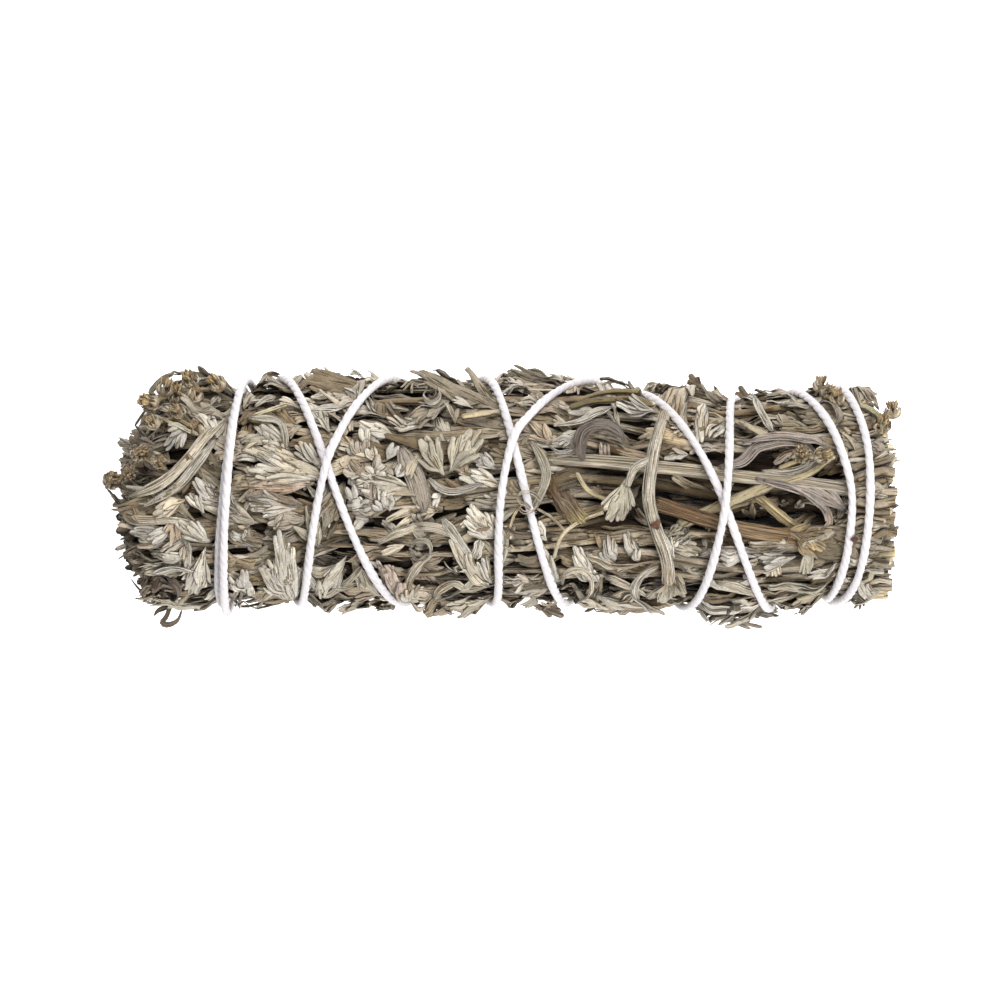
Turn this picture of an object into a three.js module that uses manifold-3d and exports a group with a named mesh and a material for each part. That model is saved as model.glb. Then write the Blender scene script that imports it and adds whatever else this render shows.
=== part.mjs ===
// A wormwood smudge stick: dried wormwood sprigs laid side by side and wound with one cotton string.
//
// The bundle lies along X, with its leafy tips and flower heads at -X and its cut stems at +X, and rests on
// Z = 0. A place in it is an x, a turn round its axis and a distance from its axis. A turn of 0 degrees
// faces up (+Z), 90 degrees faces +Y, -90 degrees faces -Y, and 180 degrees faces down.
import * as THREE from 'three';
import { mergeVertices } from 'three/addons/utils/BufferGeometryUtils.js';
import Module from 'manifold-3d';

// Driving dimensions, in millimetres and degrees
const BUNDLE_LENGTH = 104;
const AXIS_HEIGHT = 14.6;
const AXIS_ASIDE = 0.5;
const GAP = 0.3;

// Where the leaves lie: [x, distance from the axis]. The bundle closes in at its leafy end.
const LEAF_BED = [[-52, 4], [-50, 7], [-48, 9.6], [-46, 11.6], [-43.5, 12.9], [-40, 13.3],
  [10, 13.3], [30, 13], [38, 12.6], [44, 12.2], [52, 12]];
const CORE_DEPTH = 1.2;
const CORE_RIDGE = 0.4;
const SIDEWAYS_SAG = { depth: 1.4, x: 31, width: 9 };
const HOLLOW = { x: [8, 13, 46, 50], turn: [-27, -18, 20, 30], depth: 2.6 };

const OUTER_SPRIGS = 8;
const OUTER_SPRIG_INSIDE = 7.9;
const OUTER_SPRIG_REACH = 19;
const OUTER_CUT_STEMS = [[0.25, 9.4], [0.75, 10.4]];
const SPRIG_WAVES = [[5, 20], [9, 90], [6, 200], [5, 310], [6, 60], [5, 140], [6, 250], [4, 0]];
const SPRIG_WAVE_LENGTH = 70;
const CORE_LEFT = -47.5;
const CORE_RIGHT = 50;
const CORE_STEP = 10;
const CORE_INSET = 0.35;

const INNER_SPRIGS = 4;
const INNER_SPRIG_LEFT = [-49, -47.5];
const INNER_SPRIG_REACH = 6.4;
const INNER_SPRIG_DEPTH = 1.5;
const INNER_CUT_STEMS = [[-22, 5.2], [14, 3.6]];
const INNER_TIP = { x: -44.6, distance: 4, length: 7, upper: 4.4, rise: 0.6, halfTurn: 30 };
const CUT_STEM = { overlap: 3, reach: [0.7, 2], radius: [0.7, 1.1], sides: 6 };

// A leaf's parts are shares of its length, and a strip's are [share of its length, half its width].
const LEAF_THICKNESS = 0.75;
const LEAF_ROOT_DEPTH = 0.7;
const LEAF_ROOT_SHARE = 0.28;
const LEAF_ROOT_RISE = 0.3;
const LEAF_LAYER = 0.9;
const LEAF_LIFT = [0.1, 0.4];
const LEAF_LIFT_PER_LAYER = 0.4;
const FAN = {
  root: 0.1, shoulder: 0.3, shoulderTurn: 0.3, heart: 0.36, notch: 0.5, reach: 0.9, outerLoss: 0.3 };
const FAN_SPREAD_PER_LOBE = 18;
const STRIP_STATIONS = [[0.25, 0.42], [0.6, 0.5], [0.85, 0.34]];
const STRIP_WIDTH = [2.4, 3.4];
const STRIP_CHANCE = 0.25;
const LEAF_HEADING_SPREAD = 14;
const LEAF_SPACING = 11;
const LEAF_OVERLAP = 0.5;
const LONGEST_LEAF = 14;
const LEAF_DISTANCE = 13.5;
const LEAF_ROW_ASIDE = 0.25;
const SHORTEST_STRETCH = 4.5;
const LEAVES_LEFT = -49;
const LEAVES_RIGHT = 50;
const TIP_LEAF = { x: [-44, -42.5], length: [9, 11], distance: 10, depth: 0.8, lowest: 6, rise: 0.9 };
const FREE_HALF = 0.7;

const STRING_DIAMETER = 1.2;
const STRING_BODY = [[-52, 14.6], [10, 14.6], [30, 14.3], [38, 14], [44, 13.6], [52, 13.2]];
const STRING_LIFT = 0.05;
const STRING_PRESS = 0.81;
const STRING_BITE = 4.5;
const STRING_BITE_FROM = 0.6;
const STRING_BITE_TO = 6.5;
const STRING_SIDES = 6;
const STRING_STEP = 25;
const STRING_CROSSING_WIDTH = 1.8;
const STRING_CROSSING_RISE = 1.3;
const KNOT_TURN = 145;
const KNOT_LOBE_RADIUS = 1.4;
const KNOT_LOBE_SHIFT = 0.7;
const KNOT_TAILS = [[-3.6, 5], [2.9, 7]];
const CHANNEL_REACH = 6;

// The string's way round the bundle: [whole turns from the knot, turn, x, how far it bites in].
const STRING_WAY = [
  [0, 145, -33.2, 1.2], [0, 90, -33.4, 1.4], [0, -90, -36.1, 0],
  [1, 90, -28.2, 0], [1, 13, -22.1, 0], [1, -90, -12.6, 0],
  [2, 90, -1.95, 0], [2, 25, 1.7, 0], [2, -90, 8.7, 0],
  [3, 90, 17.9, 1.7], [3, -2, 28.7, 0.2], [3, -90, 35.1, 0],
  [4, 90, 38.1, 0.4], [4, 24, 43.6, 0], [4, 0, 44.9, 0], [4, -30, 44.6, 0], [4, -90, 42.6, 0],
  [5, 90, 43.9, 0], [5, 22, 47.1, 0], [5, -30, 46.8, 0], [5, -90, 44.2, 0],
  [6, 90, 30.5, 0.9], [6, -2, 28.7, 0.2], [6, -90, 24, 0],
  [7, 90, 11.7, 0.2], [7, 25, 1.7, 0], [7, -90, -0.9, 0],
  [8, 90, -13.9, 0], [8, 13, -22.1, 0], [8, -90, -26, 0],
  [9, 90, -32.8, 1.4], [9, -90, -35.5, 0], [10, 145, -32.6, 1.2],
];

// Fans that stand out on the upper side: [x, y, heading, length, lobes]. A heading of 180 grows towards -X.
const STANDOUT_DISTANCE = 14.2;
const STANDOUT_LIFT = 0.9;
const STANDOUT_ROOM = 3.4;
const STANDOUT_FANS = [
  [-26.9, -13.3, 96, 11, 6], [-22.7, 2.2, 165, 11.5, 5], [-7, 0.6, 90, 9, 7], [-9.5, -6, 150, 8, 4],
  [19.8, 10.4, 176, 8.5, 6], [-41, -4.8, 80, 6, 5], [-30, 9.5, 200, 9, 4], [-4.5, -5.5, -35, 7, 3],
  [-16.5, -9.5, -60, 8, 4], [41, 5.5, 190, 8, 4],
];

// Stems that lie bare: [x, y, distance from the axis] along each, and [radius at its start, at its end].
const BARE_STEMS = {
  long_stem: {
    way: [[5.3, 4.3, 12.7], [19, 3.2, 12], [27, 2.3, 11.6], [33.8, 1.5, 11.8], [50.6, -1.1, 11.2]],
    radii: [0.8, 0.9] },
  brown_stem: {
    way: [[21.2, -2, 12.9], [28, -4.2, 12.3], [34, -5.5, 12.2], [41, -6.4, 12]],
    radii: [0.9, 1] },
  broken_stub: {
    way: [[6.6, 0.9, 12.9], [8.4, -1.6, 13.3], [10.6, -4, 13.2]],
    radii: [1.05, 1.25] },
  crossing_stem_1: {
    way: [[24.6, -3.4, 10.6], [29, -1.9, 10.5], [33.6, -0.5, 10.6]],
    radii: [0.6, 0.6] },
  crossing_stem_2: {
    way: [[33, -3.6, 10.6], [35.4, -2.3, 10.5], [37.8, -1.1, 10.6]],
    radii: [0.5, 0.5] },
};
const FORKED_STEM = {
  way: [
    [20.6, 9, 12.8], [20.1, 7, 14], [19.4, 3.8, 15], [19, -1.6, 15], [21.2, -8.5, 15], [21.6, -11.8, 14.9]],
  radii: [0.55, 0.7],
  branch: [[19.3, 4, 15], [17.2, 2.9, 14.9], [16.2, 0.6, 14.8]],
  branchRadii: [0.55, 0.5],
  fans: [[16.3, 1.2, -104, 5.5, 5], [21, -7.6, 8, 5, 3], [21.6, -11.2, -95, 4.5, 5]],
  fanDistance: 14.6,
  fanRoom: 0.4,
};

// Sprays of flower heads: the twig's way as for a stem, and heads as [along the twig 0-1, [dx, dy, rise]].
const TWIG_RADIUS = 0.45;
const HEAD_RADIUS = 1.15;
const FLOWER_SPRAYS = [
  { way: [[-36.2, 13.1, 15], [-40.5, 12.9, 15], [-44.6, 11.2, 14.9]],
    heads: [[0.05, [0, 0.3, 0.6]], [0.3, [-0.3, -1, 0.5]], [0.42, [0.2, 1, 0.6]], [0.6, [0, -0.7, 0.8]],
      [0.75, [-0.2, 1, 0.4]], [1, [-0.5, 0, 0.3]]] },
  { way: [[-38.2, 7.2, 14.6], [-41.5, 9.2, 14.6], [-44, 8.6, 14.2]],
    heads: [[0.1, [0, 0.2, 0.6]], [0.6, [0.2, 0.6, 0.7]], [1, [-0.5, 0, 0.3]]] },
  { way: [[-42.4, 2.6, 14.4], [-46, 4.4, 12.9], [-50, 3.2, 9.4]],
    heads: [[0.15, [0, 0.5, 0.6]], [0.5, [0, 0.7, 0.8]], [0.72, [0, -0.8, 0.8]], [1, [-0.7, 0, 0]]] },
  { way: [[41.4, 12.8, 13.5], [42.4, 12, 13.7], [43.4, 11.2, 13.7]],
    heads: [[0, [0.2, 0.4, 0.6]], [0.5, [0.2, -0.3, 0.9]], [1, [0, 0.5, 0.5]]] },
  { way: [[35.4, 2.8, 13.8], [38.6, 4, 14.4], [41, 4.4, 14.3]],
    heads: [[0.55, [0, 0.7, 0.3]], [1, [0.2, 0, 0.4]]] },
  { way: [[48.4, 8.2, 13.2], [50, 10, 13.4]],
    heads: [[0.35, [0, -0.7, 0.7]], [1, [0.4, 0.2, 0.3]]] },
];

const COLOURS = {
  leaves: ['#a7a690', '#b3af99', '#9a9c84', '#aba58b', '#a1a38d', '#b0ab92', '#96987f', '#a9a78e'],
  inner: '#8b8768',
  string: '#f0eeee',
  stem: '#98896a',
  brown: '#9a6f4c',
  green: '#8e8a52',
  flowers: '#a08555',
};

// Numbers and interpolation

const radians = THREE.MathUtils.degToRad;
const smooth = (value, from, to) => THREE.MathUtils.smoothstep(value, from, to);

function randomSource(seed) {
  let state = seed;
  return (low = 0, high = 1) => {
    state = (Math.imul(state, 1664525) + 1013904223) >>> 0;
    return low + (high - low) * (state / 4294967296);
  };
}

function follow(table, x) {
  const last = table.length - 1;
  const at = Math.min(Math.max(table.findIndex(([key]) => key >= x), 1), last);
  const [x0, value0] = table[at - 1];
  const [x1, value1] = table[at];
  const share = Math.min(Math.max((x - x0) / (x1 - x0), 0), 1);
  return value0 + (value1 - value0) * share;
}

// Places in the bundle

function sidewaysSag(x) {
  return -SIDEWAYS_SAG.depth * Math.exp(-(((x - SIDEWAYS_SAG.x) / SIDEWAYS_SAG.width) ** 2));
}

function place(x, turn, distance) {
  const angle = radians(turn);
  return new THREE.Vector3(
    x, sidewaysSag(x) + distance * Math.sin(angle), AXIS_HEIGHT + distance * Math.cos(angle));
}

function turnAbove(x, y, distance) {
  return THREE.MathUtils.radToDeg(Math.asin((y - sidewaysSag(x)) / distance));
}

function placeAbove([x, y, distance]) {
  return place(x, turnAbove(x, y, distance), distance);
}

function floorDistance(turn, clearance) {
  const down = -Math.cos(radians(turn));
  return down > 0 ? (AXIS_HEIGHT - clearance) / down : Infinity;
}

// The string's way, worked out at every degree of its winding

const stringRadius = STRING_DIAMETER / 2;

function windString() {
  const wound = STRING_WAY.map(([turns, turn]) => turns * 360 + KNOT_TURN - turn);
  const values = STRING_WAY.flatMap(([, , x, bite]) => [x, bite]);
  const along = new THREE.CubicInterpolant(wound, values, 2);
  const total = wound[wound.length - 1];
  const winding = [];
  for (let degree = 0; degree <= total; degree += 1) {
    const [x, bite] = along.evaluate(degree);
    winding.push({ x, turn: KNOT_TURN - degree, distance: follow(STRING_BODY, x) - bite });
  }
  const free = winding.map(({ distance }) => distance);
  winding.forEach((spot, degree) => {
    let under = 0;
    let over = 0;
    for (let other = degree % 360; other <= total; other += 360) {
      const apart = (winding[other].x - spot.x) / STRING_CROSSING_WIDTH;
      const nearness = Math.exp(-(apart ** 2));
      if (other < degree) under = Math.max(under, nearness);
      if (other > degree) over = Math.max(over, nearness);
    }
    const raised = free[degree] + STRING_CROSSING_RISE * under;
    const lowest = floorDistance(spot.turn, stringRadius + STRING_LIFT) - STRING_CROSSING_RISE * over;
    spot.distance = Math.min(raised, lowest);
  });
  return winding;
}

const winding = windString();

function strandsAt(turn) {
  const strands = [];
  const first = (((KNOT_TURN - Math.round(turn)) % 360) + 360) % 360;
  for (let degree = first; degree < winding.length; degree += 360) strands.push(winding[degree]);
  return strands;
}

// The bundle's shape: grooved where the string bites in, and hollow to the right of the middle

function hollowDepth(x, turn) {
  const [left, leftFloor, rightFloor, right] = HOLLOW.x;
  const [bottom, bottomFloor, topFloor, top] = HOLLOW.turn;
  const lengthwise = smooth(x, left, leftFloor) * (1 - smooth(x, rightFloor, right));
  const crosswise = smooth(turn, bottom, bottomFloor) * (1 - smooth(turn, topFloor, top));
  return HOLLOW.depth * lengthwise * crosswise;
}

// The distance that nothing under the string may pass. It rises again beside each strand.
function underString(x, turn) {
  const beds = strandsAt(turn).map((strand) => {
    const pressed = strand.distance - stringRadius - STRING_PRESS;
    return pressed + STRING_BITE * smooth(Math.abs(x - strand.x), STRING_BITE_FROM, STRING_BITE_TO);
  });
  return Math.min(...beds);
}

function leafBed(x, turn) {
  return follow(LEAF_BED, x) - hollowDepth(x, turn);
}

function coreDistance(x, turn) {
  return Math.min(leafBed(x, turn) - CORE_DEPTH, underString(x, turn));
}

// Solids

const wasm = await Module();
wasm.setup();

function signedVolume(vertices, triangles) {
  return triangles.reduce((sum, [a, b, c]) => {
    const normal = new THREE.Vector3().crossVectors(vertices[b], vertices[c]);
    return sum + vertices[a].dot(normal);
  }, 0);
}

function closedGeometry(vertices, triangles) {
  const outward = signedVolume(vertices, triangles) > 0;
  const ordered = outward ? triangles : triangles.map(([a, b, c]) => [a, c, b]);
  const geometry = new THREE.BufferGeometry();
  geometry.setFromPoints(vertices);
  geometry.setIndex(ordered.flat());
  return geometry;
}

function solidOf(geometry) {
  const shape = geometry.clone();
  shape.deleteAttribute('normal');
  shape.deleteAttribute('uv');
  const merged = mergeVertices(shape, 1e-4);
  const vertProperties = new Float32Array(merged.getAttribute('position').array);
  const triVerts = new Uint32Array(merged.index.array);
  return new wasm.Manifold(new wasm.Mesh({ numProp: 3, vertProperties, triVerts }));
}

function joined(solids) {
  return solids.reduce((whole, solid) => whole.add(solid));
}

function largestBody(solid) {
  return solid.decompose().reduce((best, body) => (body.volume() > best.volume() ? body : best));
}

function meshOf(name, solid, colour) {
  const { vertProperties, triVerts } = largestBody(solid).getMesh();
  const geometry = new THREE.BufferGeometry();
  geometry.setAttribute('position', new THREE.BufferAttribute(vertProperties, 3));
  geometry.setIndex(new THREE.BufferAttribute(triVerts, 1));
  geometry.translate(0, AXIS_ASIDE, 0);
  geometry.computeVertexNormals();
  const material = new THREE.MeshStandardMaterial({ color: colour, roughness: 0.9, metalness: 0 });
  const mesh = new THREE.Mesh(geometry, material);
  mesh.name = name;
  return mesh;
}

// A solid through rings of points, each ring convex, with flat ends.
function loft(rings) {
  const sides = rings[0].length;
  const vertices = rings.flat();
  const triangles = [];
  for (let ring = 0; ring < rings.length - 1; ring += 1) {
    for (let side = 0; side < sides; side += 1) {
      const a = ring * sides + side;
      const b = ring * sides + (side + 1) % sides;
      triangles.push([a, b, b + sides], [a, b + sides, a + sides]);
    }
  }
  const end = (rings.length - 1) * sides;
  for (let side = 1; side < sides - 1; side += 1) {
    triangles.push([0, side + 1, side], [end, end + side, end + side + 1]);
  }
  return solidOf(closedGeometry(vertices, triangles));
}

// A place on a string or stem, with its radius and the directions outward and aside.
function frameAt(centre, tangent, radius) {
  const fromAxis = new THREE.Vector3(0, centre.y - sidewaysSag(centre.x), centre.z - AXIS_HEIGHT);
  const aside = new THREE.Vector3().crossVectors(tangent, fromAxis).normalize();
  const outward = new THREE.Vector3().crossVectors(aside, tangent).normalize();
  return { centre, tangent, aside, outward, radius };
}

function stemFrames(way, radii, steps = 6) {
  const curve = new THREE.CatmullRomCurve3(way.map(placeAbove));
  return Array.from({ length: steps + 1 }, (_, step) => {
    const share = step / steps;
    const radius = THREE.MathUtils.lerp(...radii, share);
    return frameAt(curve.getPointAt(share), curve.getTangentAt(share), radius);
  });
}

function tube(frames, sides = STRING_SIDES) {
  return loft(frames.map(({ centre, aside, outward, radius }) =>
    Array.from({ length: sides }, (_, side) => {
      const angle = (2 * Math.PI * (side + 0.5)) / sides;
      return centre.clone().addScaledVector(aside, radius * Math.cos(angle))
        .addScaledVector(outward, radius * Math.sin(angle));
    })));
}

// The channel that a string or stem lies in: it is open outwards and a gap wider all round.
function channel(frames) {
  const last = frames.length - 1;
  return loft(frames.map(({ centre, tangent, aside, outward, radius }, index) => {
    const ahead = index === 0 ? -GAP : index === last ? GAP : 0;
    const corners = [[-1, -1], [1, -1], [1, CHANNEL_REACH], [-1, CHANNEL_REACH]];
    return corners.map(([across, out]) => centre.clone()
      .addScaledVector(tangent, ahead)
      .addScaledVector(aside, across * (radius + GAP))
      .addScaledVector(outward, out * (radius + GAP)));
  }));
}

// Leaves. Each is drawn flat as [along, across] points with its triangles, then laid on the bundle.

// A divided leaf: pointed lobes fan out from a palm that narrows to its root.
function fanLeaf(lobes, length, random) {
  const spread = radians(FAN_SPREAD_PER_LOBE * (lobes - 1));
  const shoulder = spread / 2 + FAN.shoulderTurn;
  const polar = (angle, share) =>
    [length * (FAN.root + share * Math.cos(angle)), length * share * Math.sin(angle)];
  const outline = [[0, 0], polar(-shoulder, FAN.shoulder)];
  const rim = [0, 1];
  for (let lobe = 0; lobe < lobes; lobe += 1) {
    const side = (2 * lobe) / (lobes - 1) - 1;
    const angle = (side * spread) / 2;
    outline.push(polar(angle, FAN.reach * (1 - FAN.outerLoss * side * side) * random(0.88, 1)));
    if (lobe < lobes - 1) {
      rim.push(outline.length);
      outline.push(polar(angle + spread / (2 * (lobes - 1)), FAN.notch));
    }
  }
  rim.push(outline.length);
  outline.push(polar(shoulder, FAN.shoulder));
  const heart = outline.length;
  const triangles = rim.map((point, index) => [heart, point, rim[(index + 1) % rim.length]]);
  for (let lobe = 1; lobe <= lobes; lobe += 1) triangles.push([rim[lobe], rim[lobe] + 1, rim[lobe + 1]]);
  return { outline, inside: [[FAN.heart * length, 0]], triangles, length };
}

// A narrow strip of a leaf, pointed at both ends.
function stripLeaf(length, width) {
  const right = STRIP_STATIONS.map(([station, share]) => [station * length, -share * width]);
  const left = STRIP_STATIONS.map(([station, share]) => [station * length, share * width]).reverse();
  const triangles = [[0, 1, 7], [1, 6, 7], [1, 2, 6], [2, 5, 6], [2, 3, 5], [3, 4, 5]];
  return { outline: [[0, 0], ...right, [length, 0], ...left], inside: [], triangles, length };
}

// A leaf's outer and inner face, as distances from the axis at a share of its length. Its root is sunk in
// the core, its palm lies on the bed in one of two layers, and its lobes lift off where no string holds
// them down. The leaves that the bundle lies on are pressed flat.
function leafFaces(layer, lift) {
  return (x, turn, share) => {
    const rooted = 1 - smooth(share, 0, LEAF_ROOT_SHARE);
    const lying = leafBed(x, turn) + LEAF_THICKNESS + layer * LEAF_LAYER + lift * share ** 1.6;
    const held = Math.min(lying, underString(x, turn), floorDistance(turn, 0));
    const root = Math.min(coreDistance(x, turn) + LEAF_ROOT_RISE, held);
    const outer = THREE.MathUtils.lerp(held, root, rooted);
    return [outer, outer - LEAF_THICKNESS - rooted * LEAF_ROOT_DEPTH];
  };
}

// Lays a flat leaf on the bundle. A heading of 180 grows towards -X.
function laidLeaf({ outline, inside, triangles, length }, { x, turn, distance, heading, faces, hold }) {
  const [ahead, aside] = [Math.cos(radians(heading)), Math.sin(radians(heading))];
  const perDegree = radians(distance);
  const layers = [...outline, ...inside].map(([along, across]) => {
    const leafX = x + along * ahead - across * aside;
    const leafTurn = hold(leafX, turn + (along * aside + across * ahead) / perDegree);
    return faces(leafX, leafTurn, Math.max(along / length, 0)).map((face) => place(leafX, leafTurn, face));
  });
  const count = layers.length;
  const lowerFaces = triangles.map(([a, b, c]) => [a + count, c + count, b + count]);
  const edge = outline.flatMap((_, point) => {
    const next = (point + 1) % outline.length;
    return [[point, point + count, next + count], [point, next + count, next]];
  });
  const vertices = [...layers.map(([upper]) => upper), ...layers.map(([, lower]) => lower)];
  return solidOf(closedGeometry(vertices, [...triangles, ...lowerFaces, ...edge]));
}

// Sprigs

function sprigBorder(index, x) {
  const [wave, phase] = SPRIG_WAVES[index % OUTER_SPRIGS];
  const middle = (360 * (index - 0.5)) / OUTER_SPRIGS;
  return middle + wave * Math.sin(radians((360 * x) / SPRIG_WAVE_LENGTH + phase));
}

// The turns between a sprig's two borders at x, with half a gap left free on each side at a distance.
function turnsAcross(index, x, distance, margin, count) {
  const inset = THREE.MathUtils.radToDeg((GAP / 2 + margin) / distance);
  const from = sprigBorder(index, x) + inset;
  const to = sprigBorder(index + 1, x) - inset;
  return Array.from({ length: count }, (_, step) => THREE.MathUtils.lerp(from, to, step / (count - 1)));
}

function stationsBetween(from, to, spacing) {
  const steps = Math.round((to - from) / spacing);
  return Array.from({ length: steps + 1 }, (_, step) => THREE.MathUtils.lerp(from, to, step / steps));
}

function sprigCore(index) {
  return loft(stationsBetween(CORE_LEFT, CORE_RIGHT, CORE_STEP).map((x) => {
    const inside = Math.min(OUTER_SPRIG_INSIDE, follow(LEAF_BED, x) - 1.5 * CORE_DEPTH);
    const across = (count) => turnsAcross(index, x, inside, CORE_INSET, count);
    const inner = across(2).reverse().map((turn) => place(x, turn, inside));
    const outer = across(5).map((turn, order) =>
      place(x, turn, coreDistance(x, turn) + (order % 2 === 0 ? -CORE_RIDGE : CORE_RIDGE)));
    return [...inner, ...outer];
  }));
}

// The room that a sprig may fill: its share of the bundle, from the ends in and from the surface below up.
function sprigRoom(index) {
  const half = BUNDLE_LENGTH / 2;
  return loft(stationsBetween(-half, half, 4).map((x) => {
    const outer = turnsAcross(index, x, OUTER_SPRIG_INSIDE, 0, 6)
      .map((turn) => place(x, turn, Math.min(OUTER_SPRIG_REACH, floorDistance(turn, 0))));
    const inner = turnsAcross(index, x, OUTER_SPRIG_INSIDE, 0, 2)
      .map((turn) => place(x, turn, 0.3 * OUTER_SPRIG_INSIDE)).reverse();
    return [...outer, ...inner];
  }));
}

// Keeps a turn inside a sprig: leaves that would cross into the next sprig bend along its border.
function heldInSprig(index) {
  return (x, turn) => {
    const [from, to] = turnsAcross(index, x, LEAF_DISTANCE, GAP, 2);
    const half = (to - from) / 2;
    const share = (turn - from - half) / half;
    const size = Math.abs(share);
    const rest = 1 - FREE_HALF;
    const held = size < FREE_HALF ? size : FREE_HALF + rest * Math.tanh((size - FREE_HALF) / rest);
    return from + half + half * held * Math.sign(share);
  };
}

function isCrowded(x, turn) {
  const y = STANDOUT_DISTANCE * Math.sin(radians(turn));
  const isUpperSide = Math.abs(turn) < 90;
  return isUpperSide && STANDOUT_FANS.some((fan) => Math.hypot(fan[0] - x, fan[1] - y) < STANDOUT_ROOM);
}

// The stretches at a turn that no strand of the string crosses.
function openStretches(turn) {
  const strands = strandsAt(turn).map(({ x }) => x).sort((a, b) => a - b);
  const edges = [LEAVES_LEFT, ...strands, LEAVES_RIGHT];
  return edges.slice(1).map((right, index) => [edges[index], right])
    .filter(([left, right]) => right - left > SHORTEST_STRETCH);
}

// A sprig's leaves: two rows of fans and strips that bulge between the strands, rooted under the string.
function sprigLeaves(index, random) {
  const hold = heldInSprig(index);
  const leaves = [];
  for (const side of [-1, 1]) {
    const layer = (index + (side + 1) / 2) % 2;
    const turnAt = (x) => {
      const [from, to] = turnsAcross(index, x, LEAF_DISTANCE, 0, 2);
      return (from + to) / 2 + side * LEAF_ROW_ASIDE * (to - from);
    };
    for (const [left, right] of openStretches(turnAt(0))) {
      const count = Math.max(Math.round((right - left) / LEAF_SPACING), 1);
      const spacing = (right - left) / count;
      for (let order = 0; order < count; order += 1) {
        const x = right - order * spacing;
        const turn = turnAt(x);
        if (isCrowded(x, turn)) continue;
        const length = Math.min(spacing + LEAF_OVERLAP, LONGEST_LEAF);
        const isStrip = random() < STRIP_CHANCE || hollowDepth(x, turn) > 0;
        const leaf = isStrip ? stripLeaf(length, random(...STRIP_WIDTH)) : fanLeaf(3, length, random);
        const heading = 180 + random(-LEAF_HEADING_SPREAD, LEAF_HEADING_SPREAD);
        const faces = leafFaces(layer, random(...LEAF_LIFT) + LEAF_LIFT_PER_LAYER * layer);
        leaves.push(laidLeaf(leaf, { x, turn, distance: LEAF_DISTANCE, heading, faces, hold }));
      }
    }
  }
  for (const [x, y, heading, length, lobes] of STANDOUT_FANS) {
    const turn = turnAbove(x, y, STANDOUT_DISTANCE);
    const [from, to] = turnsAcross(index, x, LEAF_DISTANCE, 0, 2);
    if ((turn - from + 720) % 360 > to - from) continue;
    const faces = leafFaces(1, STANDOUT_LIFT);
    const leaf = fanLeaf(lobes, length, random);
    leaves.push(laidLeaf(leaf, { x, turn, distance: STANDOUT_DISTANCE, heading, faces, hold }));
  }
  return leaves;
}

// The leaf tip that closes the bundle's leafy end, out to its full length.
function tipLeaf(index, random) {
  const { x, length, distance, depth, lowest, rise } = TIP_LEAF;
  const [from, to] = turnsAcross(index, CORE_LEFT, distance, 0, 2);
  const faces = (leafX, turn, share) => {
    const lower = Math.max(leafBed(leafX, turn) - CORE_DEPTH - depth, lowest) + rise * share;
    return [lower + LEAF_THICKNESS, lower];
  };
  return laidLeaf(fanLeaf(4, random(...length), random), {
    x: random(...x), turn: (from + to) / 2, distance, heading: 180, faces, hold: heldInSprig(index) });
}

// The cut stems that show at the other end.
function cutStems(random, spots) {
  return spots.map(([turn, distance]) => {
    const end = CORE_RIGHT + random(...CUT_STEM.reach);
    const radius = random(...CUT_STEM.radius);
    return loft([CORE_RIGHT - CUT_STEM.overlap, end].map((x) =>
      Array.from({ length: CUT_STEM.sides }, (_, side) => {
        const angle = (2 * Math.PI * side) / CUT_STEM.sides;
        const toSide = new THREE.Vector3(0, radius * Math.cos(angle), radius * Math.sin(angle));
        return place(x, turn, distance).add(toSide);
      })));
  });
}

function outerSprig(index, cutters) {
  const random = randomSource(1013 * (index + 3));
  const [from, to] = turnsAcross(index, CORE_RIGHT, OUTER_SPRIG_INSIDE, 2 * GAP, 2);
  const leaves = [...sprigLeaves(index, random), tipLeaf(index, random)];
  const stems = cutStems(random, OUTER_CUT_STEMS.map(([share, distance]) =>
    [THREE.MathUtils.lerp(from, to, share), distance]));
  const whole = joined([sprigCore(index), ...leaves, ...stems]);
  return cutters.reduce((solid, cutter) => solid.subtract(cutter), whole.intersect(sprigRoom(index)));
}

function quarterRing(index, x, reach) {
  const from = 90 * index;
  const corner = GAP / 2;
  const arc = [0, 0.33, 0.67, 1].map((share) => {
    const inset = THREE.MathUtils.radToDeg(corner / reach);
    return place(x, THREE.MathUtils.lerp(from + inset, from + 90 - inset, share), reach);
  });
  return [...arc, place(x, from + 45, corner * Math.SQRT2)];
}

function innerSprig(index) {
  const random = randomSource(7013 * (index + 2));
  const body = loft(stationsBetween(random(...INNER_SPRIG_LEFT), CORE_RIGHT, 2 * CORE_STEP).map((x) =>
    quarterRing(index, x, Math.min(INNER_SPRIG_REACH, follow(LEAF_BED, x) - INNER_SPRIG_DEPTH))));
  const { x: tipX, distance, length, upper, rise, halfTurn } = INNER_TIP;
  const middle = 90 * index + 45;
  const faces = (_, turn, share) => [upper + rise * share, upper + rise * share - LEAF_THICKNESS];
  const hold = (_, turn) => middle + halfTurn * Math.tanh((turn - middle) / halfTurn);
  const tip = laidLeaf(fanLeaf(3, length, random), {
    x: tipX, turn: middle, distance, heading: 180, faces, hold });
  const stems = cutStems(random, INNER_CUT_STEMS.map(([turned, fromAxis]) => [middle + turned, fromAxis]));
  return joined([body, tip, ...stems]);
}

// The string

class Winding extends THREE.Curve {
  getPoint(share, target = new THREE.Vector3()) {
    const degree = share * (winding.length - 1);
    const before = Math.min(Math.floor(degree), winding.length - 2);
    const [from, to] = [winding[before], winding[before + 1]];
    const blend = degree - before;
    return target.copy(place(
      THREE.MathUtils.lerp(from.x, to.x, blend),
      THREE.MathUtils.lerp(from.turn, to.turn, blend),
      THREE.MathUtils.lerp(from.distance, to.distance, blend)));
  }
}

function stringFrames() {
  const curve = new Winding();
  const steps = Math.round(winding.length / STRING_STEP);
  return Array.from({ length: steps + 1 }, (_, step) =>
    frameAt(curve.getPoint(step / steps), curve.getTangent(step / steps), stringRadius));
}

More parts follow.
